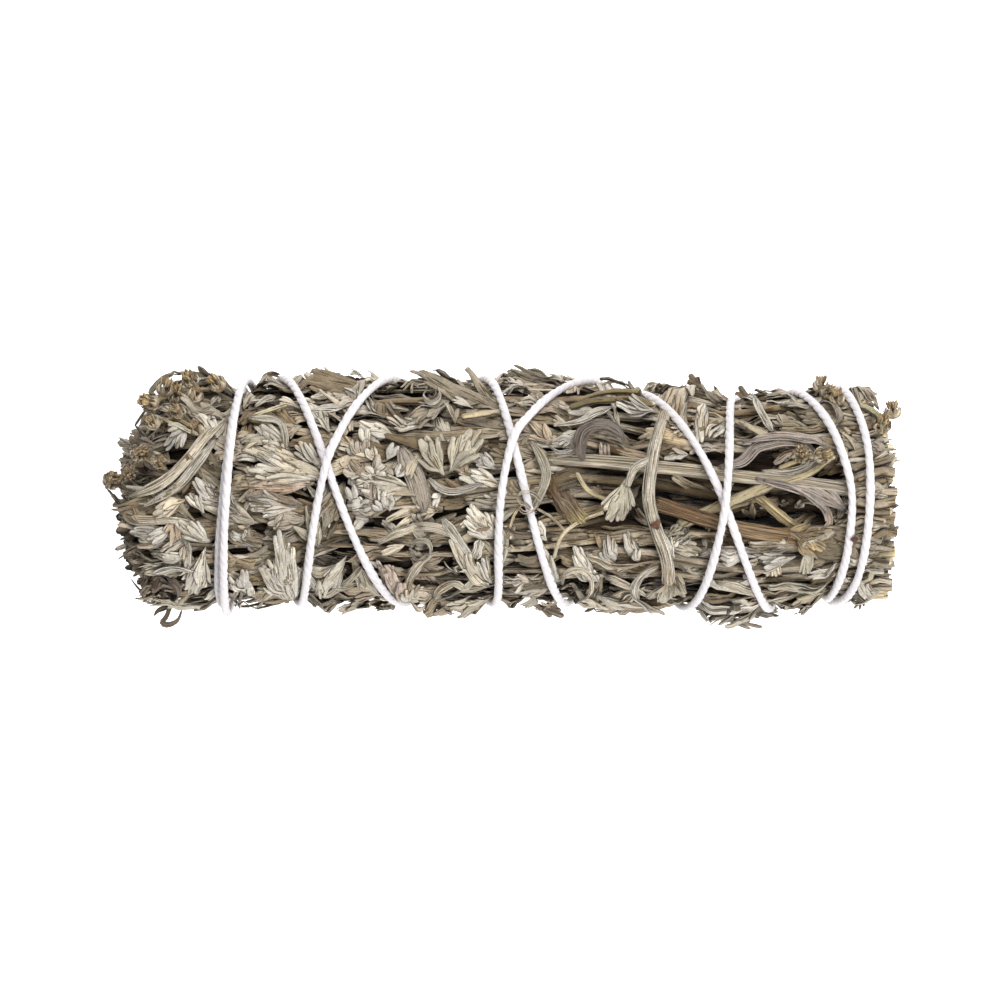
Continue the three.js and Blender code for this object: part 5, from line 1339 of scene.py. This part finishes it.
def stem_finish(name):
    """Dried stem: ribbed and finely cracked along its length, darker down between the ribs."""
    made, start, shader = new_finish(name, Specular_IOR_Level=0.3)
    tint, grain, ribs = strip_marks(start, (0.3, 7.0, 1.0), 4.0)
    blotch = noise(start, grain, 0.3, 3.0)
    light = (ribs.step(0.3, 0.6) * 0.55 + 0.5) * (blotch * 0.8 + 0.65)
    bump = start.node("ShaderNodeBump", (), {"Strength": 0.9, "Distance": 0.0003, "Height": ribs})
    feed(shader, Base_Color=tint * light, Roughness=ribs * 0.3 + 0.55, Normal=bump)
    return made


bark_finish = stem_finish("dried stem")


def along_stem(way, stations):
    """A stem's points and its ways out from the axis, along its CAD way of (x, y, distance) points."""
    x, turn, distance = spine([[x, turn_above(x, y, d), d] for x, y, d in way], stations).T
    return to_space(x, turn, distance), outward(turn)


def plain_stem(cuttings, way, radii, code, stations, flat=STEM_FLATNESS, sides=16):
    """A stem with a cut end."""
    path, out = along_stem(way, stations)
    radius = np.linspace(*radii, stations)[None] * (1 + 0.06 * rng.normal(0, 1, (1, stations)))
    bark = np.broadcast_to(linear(code), (1, stations, 3)).copy()
    bark[:, -1] = OLD_PITH
    cuttings.add(path[None], out[None], radius, flat * radius, bark, section=round_section(sides, 0.1),
                 cut=True)


def ribbed_stem(cuttings, way, radii, codes, ribs, fray, stations=RIBBED_STATIONS, flat=STEM_FLATNESS):
    """A stem with its bark ribs, which come loose and fray at its far end."""
    plain_stem(cuttings, way, [0.86 * radius for radius in radii], codes[-1], stations, flat)
    path, out = along_stem(way, stations)
    along = unit(np.gradient(path, axis=0))
    side = unit(np.cross(along, out))
    over = np.cross(side, along)
    t = np.linspace(0, 1, stations)
    number = np.arange(ribs)[:, None]
    angle = 2 * np.pi * (number + rng.uniform(-0.25, 0.25, (ribs, 1))) / ribs + 0.12 * np.sin(5 * t + number)
    radius = np.linspace(*radii, stations) * (1 + 0.05 * np.sin(23 * t) * np.sin(9 * t + 2))
    loose = smooth(t, 0.9, 1.0) * fray * rng.uniform(-0.2, 1, (ribs, 1))
    out = side * np.cos(angle)[..., None] + over * (flat * np.sin(angle))[..., None]
    uneven = 0.9 + 0.09 * rng.uniform(-1, 1, (ribs, 1)) + 0.04 * np.sin(31 * t + 1.7 * number)
    rows = path + out * (radius * uneven + 0.4 * loose)[..., None] + along * (loose * 1.1)[..., None]
    half = np.pi * radius / ribs * rng.uniform(0.9, 1.5, (ribs, 1))
    colours = np.array([linear(code) for code in codes])
    tone = np.stack([np.interp(t, np.linspace(0, 1, len(codes)), column) for column in colours.T], -1)
    light = rng.uniform(0.66, 1.1, (ribs, 1)) * (1 + 0.14 * np.sin(17 * t + 2.3 * number))
    tone = dulled(tone[None], light[..., None])
    cuttings.add(rows, out, half, 0.4 * half + 0.04, tone)


for name, (way, radii, codes, ribs, fray, slot) in BARE_STEMS.items():
    stem = Cuttings()
    ribbed_stem(stem, way, radii, codes, ribs, fray)
    stem.piece(f"dried_{name}", bark_finish, name, slot)

# ----------------------------------------------------------------------------------------------------------
# The forked stem: a thin dried stalk of wormwood that came loose and lies across the others, over the
# hollow. It has a short branch, small fans that still hang on it, and three seeds stuck to it.

FORKED_WAY = [[22.1, 11.6, 11.9], [21.0, 9.4, 13.1], [20.1, 7, 14.3], [19.4, 3.8, 15], [19, -1.6, 15],
              [21.2, -8.5, 15], [21.6, -11.8, 14.9]]
FORKED_BRANCH = [[19.3, 4, 15], [17.2, 2.9, 14.9], [16.2, 0.6, 14.8]]
FORKED_FANS = [  # x, y, heading, length, lobes
    [16.2, 1.9, -104, 7.0, 4], [20.8, -7.2, 8, 5, 3], [21.2, -6.0, 30, 3.6, 2], [21.6, -11.2, -95, 4.5, 4],
    [21.4, -10.8, -60, 4.2, 3]]
FAN_DISTANCE = 14.6
STUCK_SEEDS = [(19.7, -4.4, 0.5, "#5a3623"), (20.1, -4.0, 0.36, "#66452a"), (20.0, -4.7, 0.3, "#4a2f20")]

forked = Cuttings()
ribbed_stem(forked, FORKED_WAY, (0.7, 0.8), ("#c3bbab", "#cbc3b4", "#c0b7a7", "#c8bfb0"), 21, 0.2, flat=0.72)
ribbed_stem(forked, FORKED_BRANCH, (0.5, 0.4), ("#bfb7a9", "#c4bcae"), 13, 0.2, stations=16, flat=0.8)
for x, y, heading, length, lobes in FORKED_FANS:
    turn = turn_above(x, y, FAN_DISTANCE)
    fan(forked, x, turn, heading, length, lobes, 10 * lobes, 0.5, FAN_DISTANCE - leaf_bed(x, turn),
        TINTS["olive"], dip=0, tuck=-1.5, teeth=3, palm=0.65)
for x, y, size, code in STUCK_SEEDS:
    path = to_space(x + size * np.linspace(-1.2, 1.2, 9), turn_above(x, y, 15.7), 15.6)
    bulb = size * np.sin(np.linspace(0, np.pi, 9)) * rng.uniform(0.85, 1.1, 9)
    forked.add(path[None], (0, 0, 1), bulb, bulb, linear(code), section=round_section(10, 0.08), seed=0)
forked.piece("loose_forked_stem", outer_leaf, "forked_stem", "grey_brown_stem")

# ----------------------------------------------------------------------------------------------------------
# The flower sprays: thin twigs with small round heads of dried flowers, brown bracts round tan florets, that
# stick out between the leaves.

HEAD_RADIUS = 1.15
FLOWER_SPRAYS = [  # the twig's CAD way, and its heads: the share along it, and x, y and rise from there
    ([[-36.2, 13.1, 15], [-40.5, 12.9, 15], [-44.6, 11.2, 14.9]],
     [[0.05, [0, 0.3, 0.6]], [0.3, [-0.3, -1, 0.5]], [0.42, [0.2, 1, 0.6]], [0.6, [0, -0.7, 0.8]],
      [0.75, [-0.2, 1, 0.4]], [1, [-0.5, 0, 0.3]]]),
    ([[-38.2, 7.2, 14.6], [-41.5, 9.2, 14.6], [-44, 8.6, 14.2]],
     [[0.1, [0, 0.2, 0.6]], [0.6, [0.2, 0.6, 0.7]], [1, [-0.5, 0, 0.3]]]),
    ([[-42.4, 2.6, 14.4], [-46, 4.0, 12.9], [-49, 1.4, 10.2]],
     [[0.15, [0, 0.5, 0.6]], [0.5, [0, 0.7, 0.8]], [0.72, [0, -0.8, 0.8]], [1, [-0.7, 0, 0]]]),
    ([[41.4, 12.8, 13.5], [42.4, 12, 13.7], [43.4, 11.2, 13.7]],
     [[0, [0.2, 0.4, 0.6]], [0.5, [0.2, -0.3, 0.9]], [1, [0, 0.5, 0.5]]]),
    ([[35.4, 2.8, 13.8], [38.6, 4, 14.4], [41, 4.4, 14.3]],
     [[0.55, [0, 0.7, 0.3]], [1, [0.2, 0, 0.4]]]),
    ([[48.4, 8.2, 13.2], [50, 10, 13.4]],
     [[0.35, [0, -0.7, 0.7]], [1, [0.4, 0.2, 0.3]]]),
]
BRACT_RINGS = ((7, 0.5, 0.9), (8, 0.9, 1.05), (8, 1.3, 1.1))  # how many, how far open, how long
FLORETS_EACH = 26
BRACTS = [linear(code) for code in ("#b5a68c", "#95846a", "#c0b297", "#a59478")]
FLORETS = [linear(code) for code in ("#b9a077", "#9f8359", "#c3ad80", "#8d7350")]


def flower_head(cuttings, middle, facing, radius):
    """One round head: three rings of bracts and a tuft of florets."""
    facing = unit(facing)
    level = unit(np.cross(facing, (0.31, 0.2, 0.93)))
    other = np.cross(facing, level)
    t = np.linspace(0, 1, 7)
    for ring, (count, open_angle, reach) in enumerate(BRACT_RINGS):
        spin = 2 * np.pi * (np.arange(count) + 0.4 * ring) / count + rng.normal(0, 0.15, count)
        swing = -2.4 + (2.4 + 0.25 * open_angle) * t[None] * reach
        wide = np.cos(swing)[..., None]
        ways = np.cos(spin)[:, None, None] * level + np.sin(spin)[:, None, None] * other
        size = radius * (1 - 0.06 * ring) * rng.uniform(0.92, 1.06, (count, 1, 1))
        path = middle + size * (wide * ways + (np.sin(swing) * 0.95)[..., None] * facing)
        up = unit(path - middle)
        half = radius * 0.42 * np.sin(np.pi * np.clip(t + 0.12, 0, 1))[None] + 0.04
        tint = np.resize(BRACTS, (count, 1, 3)) * rng.uniform(0.7, 1.1, (count, 1, 1))
        cuttings.add(path, up, half, 0.12 * radius, tint)
    count = FLORETS_EACH
    angle = rng.uniform(0, 2 * np.pi, count)
    spread = 0.62 * np.sqrt(rng.uniform(0, 1, count))
    ways = (np.cos(angle) * spread)[:, None] * level + (np.sin(angle) * spread)[:, None] * other
    reach = rng.uniform(0.85, 1.2, count)[:, None]
    root = middle + radius * (0.6 * ways)
    tip = middle + radius * (ways * 1.15 + reach * facing)
    share = np.linspace(0, 1, 5)[None, :, None]
    path = root[:, None] * (1 - share) + tip[:, None] * share
    tint = np.resize(FLORETS, (count, 1, 3)) * rng.uniform(0.7, 1.15, (count, 1, 1))
    cuttings.add(path, (0.1, 0.2, 0.97), 0.13 * radius, 0.13 * radius, tint, section=round_section(5))


# the second colour is the painted shade along the strips' low edges
flower_finish = leaf_finish("dried flowers", "#6d5b42", "#c2b196")
for number, (way, heads) in enumerate(FLOWER_SPRAYS, 1):
    spray = Cuttings()
    plain_stem(spray, way, (0.36, 0.3), "#8f7f5c", stations=14, sides=8)
    line = spine([to_space(x, turn_above(x, y, d), d) for x, y, d in way], 51)
    for share, (dx, dy, rise) in heads:
        spot = line[int(round(50 * share))]
        out = unit(np.array([0, spot[1] - AXIS_ASIDE, spot[2] - AXIS_HEIGHT]))
        middle = spot + np.array([dx, dy, 0]) + out * rise
        facing = out + np.array([-0.4 if spot[0] < 0 else 0.4, 0, 0]) + rng.normal(0, 0.45, 3)
        flower_head(spray, middle, facing, HEAD_RADIUS * rng.uniform(0.85, 1.15))
    spray.piece(f"flower_heads_{number}", flower_finish, f"flower_spray_{number}", "flower_heads")

# ----------------------------------------------------------------------------------------------------------
# The string: one length of soft white cotton, three loosely twisted plies with a fuzz of loose fibres. It
# starts at a knot on the back, is wound to the cut end and back in crossing turns, and is knotted again.

PLIES = 3
PLY_RADIUS = 0.4
PLY_OFFSET = 0.16  # how far a ply's middle lies from the string's
PLY_PITCH = 4.4
PLY_STEP = 0.42
HAIRS = 3500
HAIR_ROOT = 0.42
HAIR_RADIUS = 0.022
KNOT_LOOPS = [(0, 0.9, 0.9), (40, 0.75, -0.5), (80, 0.7, 0.2)]  # turned, size, lean
KNOT_RADIUS = 0.5
TAILS = [(-3.6, 5), (2.9, 7)]  # along the bundle, round it in degrees

string_line = to_space(string_x, string_turn, string_distance)
gone = np.concatenate([[0], np.cumsum(np.linalg.norm(np.diff(string_line, axis=0), axis=1))])
string_length = gone[-1]
count = int(string_length / PLY_STEP)
spots = np.linspace(0, string_length, count)
middle = np.stack([np.interp(spots, gone, column) for column in string_line.T], -1)
facing = outward(np.interp(spots, gone, string_turn))
ahead = unit(np.gradient(middle, axis=0))
aside = unit(np.cross(ahead, facing))
facing = np.cross(aside, ahead)
string = Cuttings()
white = np.array(linear("#cbc6c8"))


def around(angle, radius):
    """The way from the string's middle to a place beside it, at each of its spots."""
    return (aside * np.cos(angle)[:, None] + facing * np.sin(angle)[:, None]) * np.asarray(radius)[..., None]


loose = 1 + 0.05 * np.sin(spots / 3.1) + 0.04 * np.sin(spots / 1.3 + 2)
for ply in range(PLIES):
    angle = 2 * np.pi * (spots / PLY_PITCH + ply / PLIES) + 0.25 * np.sin(spots / 5)
    out = around(angle, PLY_OFFSET * loose)
    string.add((middle + out)[None], unit(out)[None], (PLY_RADIUS * loose)[None], (PLY_RADIUS * loose)[None],
               white, section=round_section(6), seed=100 * ply)
# the fuzz, longer on the upper side
root_at = rng.integers(2, count - 2, HAIRS)
angle = rng.uniform(0, 2 * np.pi, HAIRS)
way = (aside[root_at] * np.cos(angle)[:, None] + facing[root_at] * np.sin(angle)[:, None])
drift = ahead[root_at] * rng.normal(0, 0.55, HAIRS)[:, None]
drift = drift + np.cross(ahead[root_at], way) * rng.normal(0, 0.5, HAIRS)[:, None]
share = np.linspace(0, 1, 4)[None, :, None]
reach = (rng.gamma(2.2, 0.12, HAIRS) * np.interp(facing[root_at, 2], [-0.2, 0.5], [0.4, 1]))[:, None, None]
base = middle[root_at][:, None] + way[:, None] * HAIR_ROOT
path = base + (way[:, None] * share + drift[:, None] * share ** 1.6) * reach
string.add(path, np.cross(way, ahead[root_at])[:, None] + 0 * path, HAIR_RADIUS, HAIR_RADIUS, white,
           section=round_section(3), seed=0)
# the knot and its two tails
knot_middle = (string_x[0] + string_x[-1]) / 2
knot_distance = max(string_distance[0], string_distance[-1]) + STRING_RADIUS / 2
for turned, size, lean in KNOT_LOOPS:
    spin = np.linspace(0, 2 * np.pi * 1.1, 26)
    x = knot_middle + size * np.cos(spin + math.radians(turned)) * 1.15
    turn = KNOT_TURN + np.degrees(size * np.sin(spin + math.radians(turned)) / knot_distance)
    distance = knot_distance + 0.15 + 0.35 * np.sin(2 * spin + lean)
    loop = to_space(x, turn, distance)[None]
    string.add(loop, outward(turn)[None], KNOT_RADIUS, KNOT_RADIUS, white, section=round_section(8, 0.12),
               seed=turned)
for along, turned in TAILS:
    t = np.linspace(0, 1, 12)
    x = knot_middle + along * t
    turn = KNOT_TURN + turned * t ** 1.5
    distance = np.minimum(knot_distance - 0.35 * t, floor_distance(turn, 0.7))
    tail = to_space(x, turn, distance)[None]
    string.add(tail, outward(turn)[None], 0.55 * (1 + 0.25 * smooth(t, 0.8, 1))[None], KNOT_RADIUS, white,
               section=round_section(9, 0.2), cut=True, seed=along)

cotton, start, shader = new_finish("cotton string", Specular_IOR_Level=0.15, Sheen_Weight=0.5,
                                   Sheen_Roughness=0.6)
tint, grain, fibres = strip_marks(start, (0.7, 5.0, 1.0), 3.0)
bump = start.node("ShaderNodeBump", (), {"Strength": 0.6, "Distance": 0.00015, "Height": fibres})
feed(shader, Base_Color=tint * (fibres * 0.3 + 0.8), Roughness=fibres * 0.2 + 0.75, Normal=bump)
string.piece("cotton_winding", cotton, "cotton_string", "cotton_string")
print("string length", round(string_length), "mm")
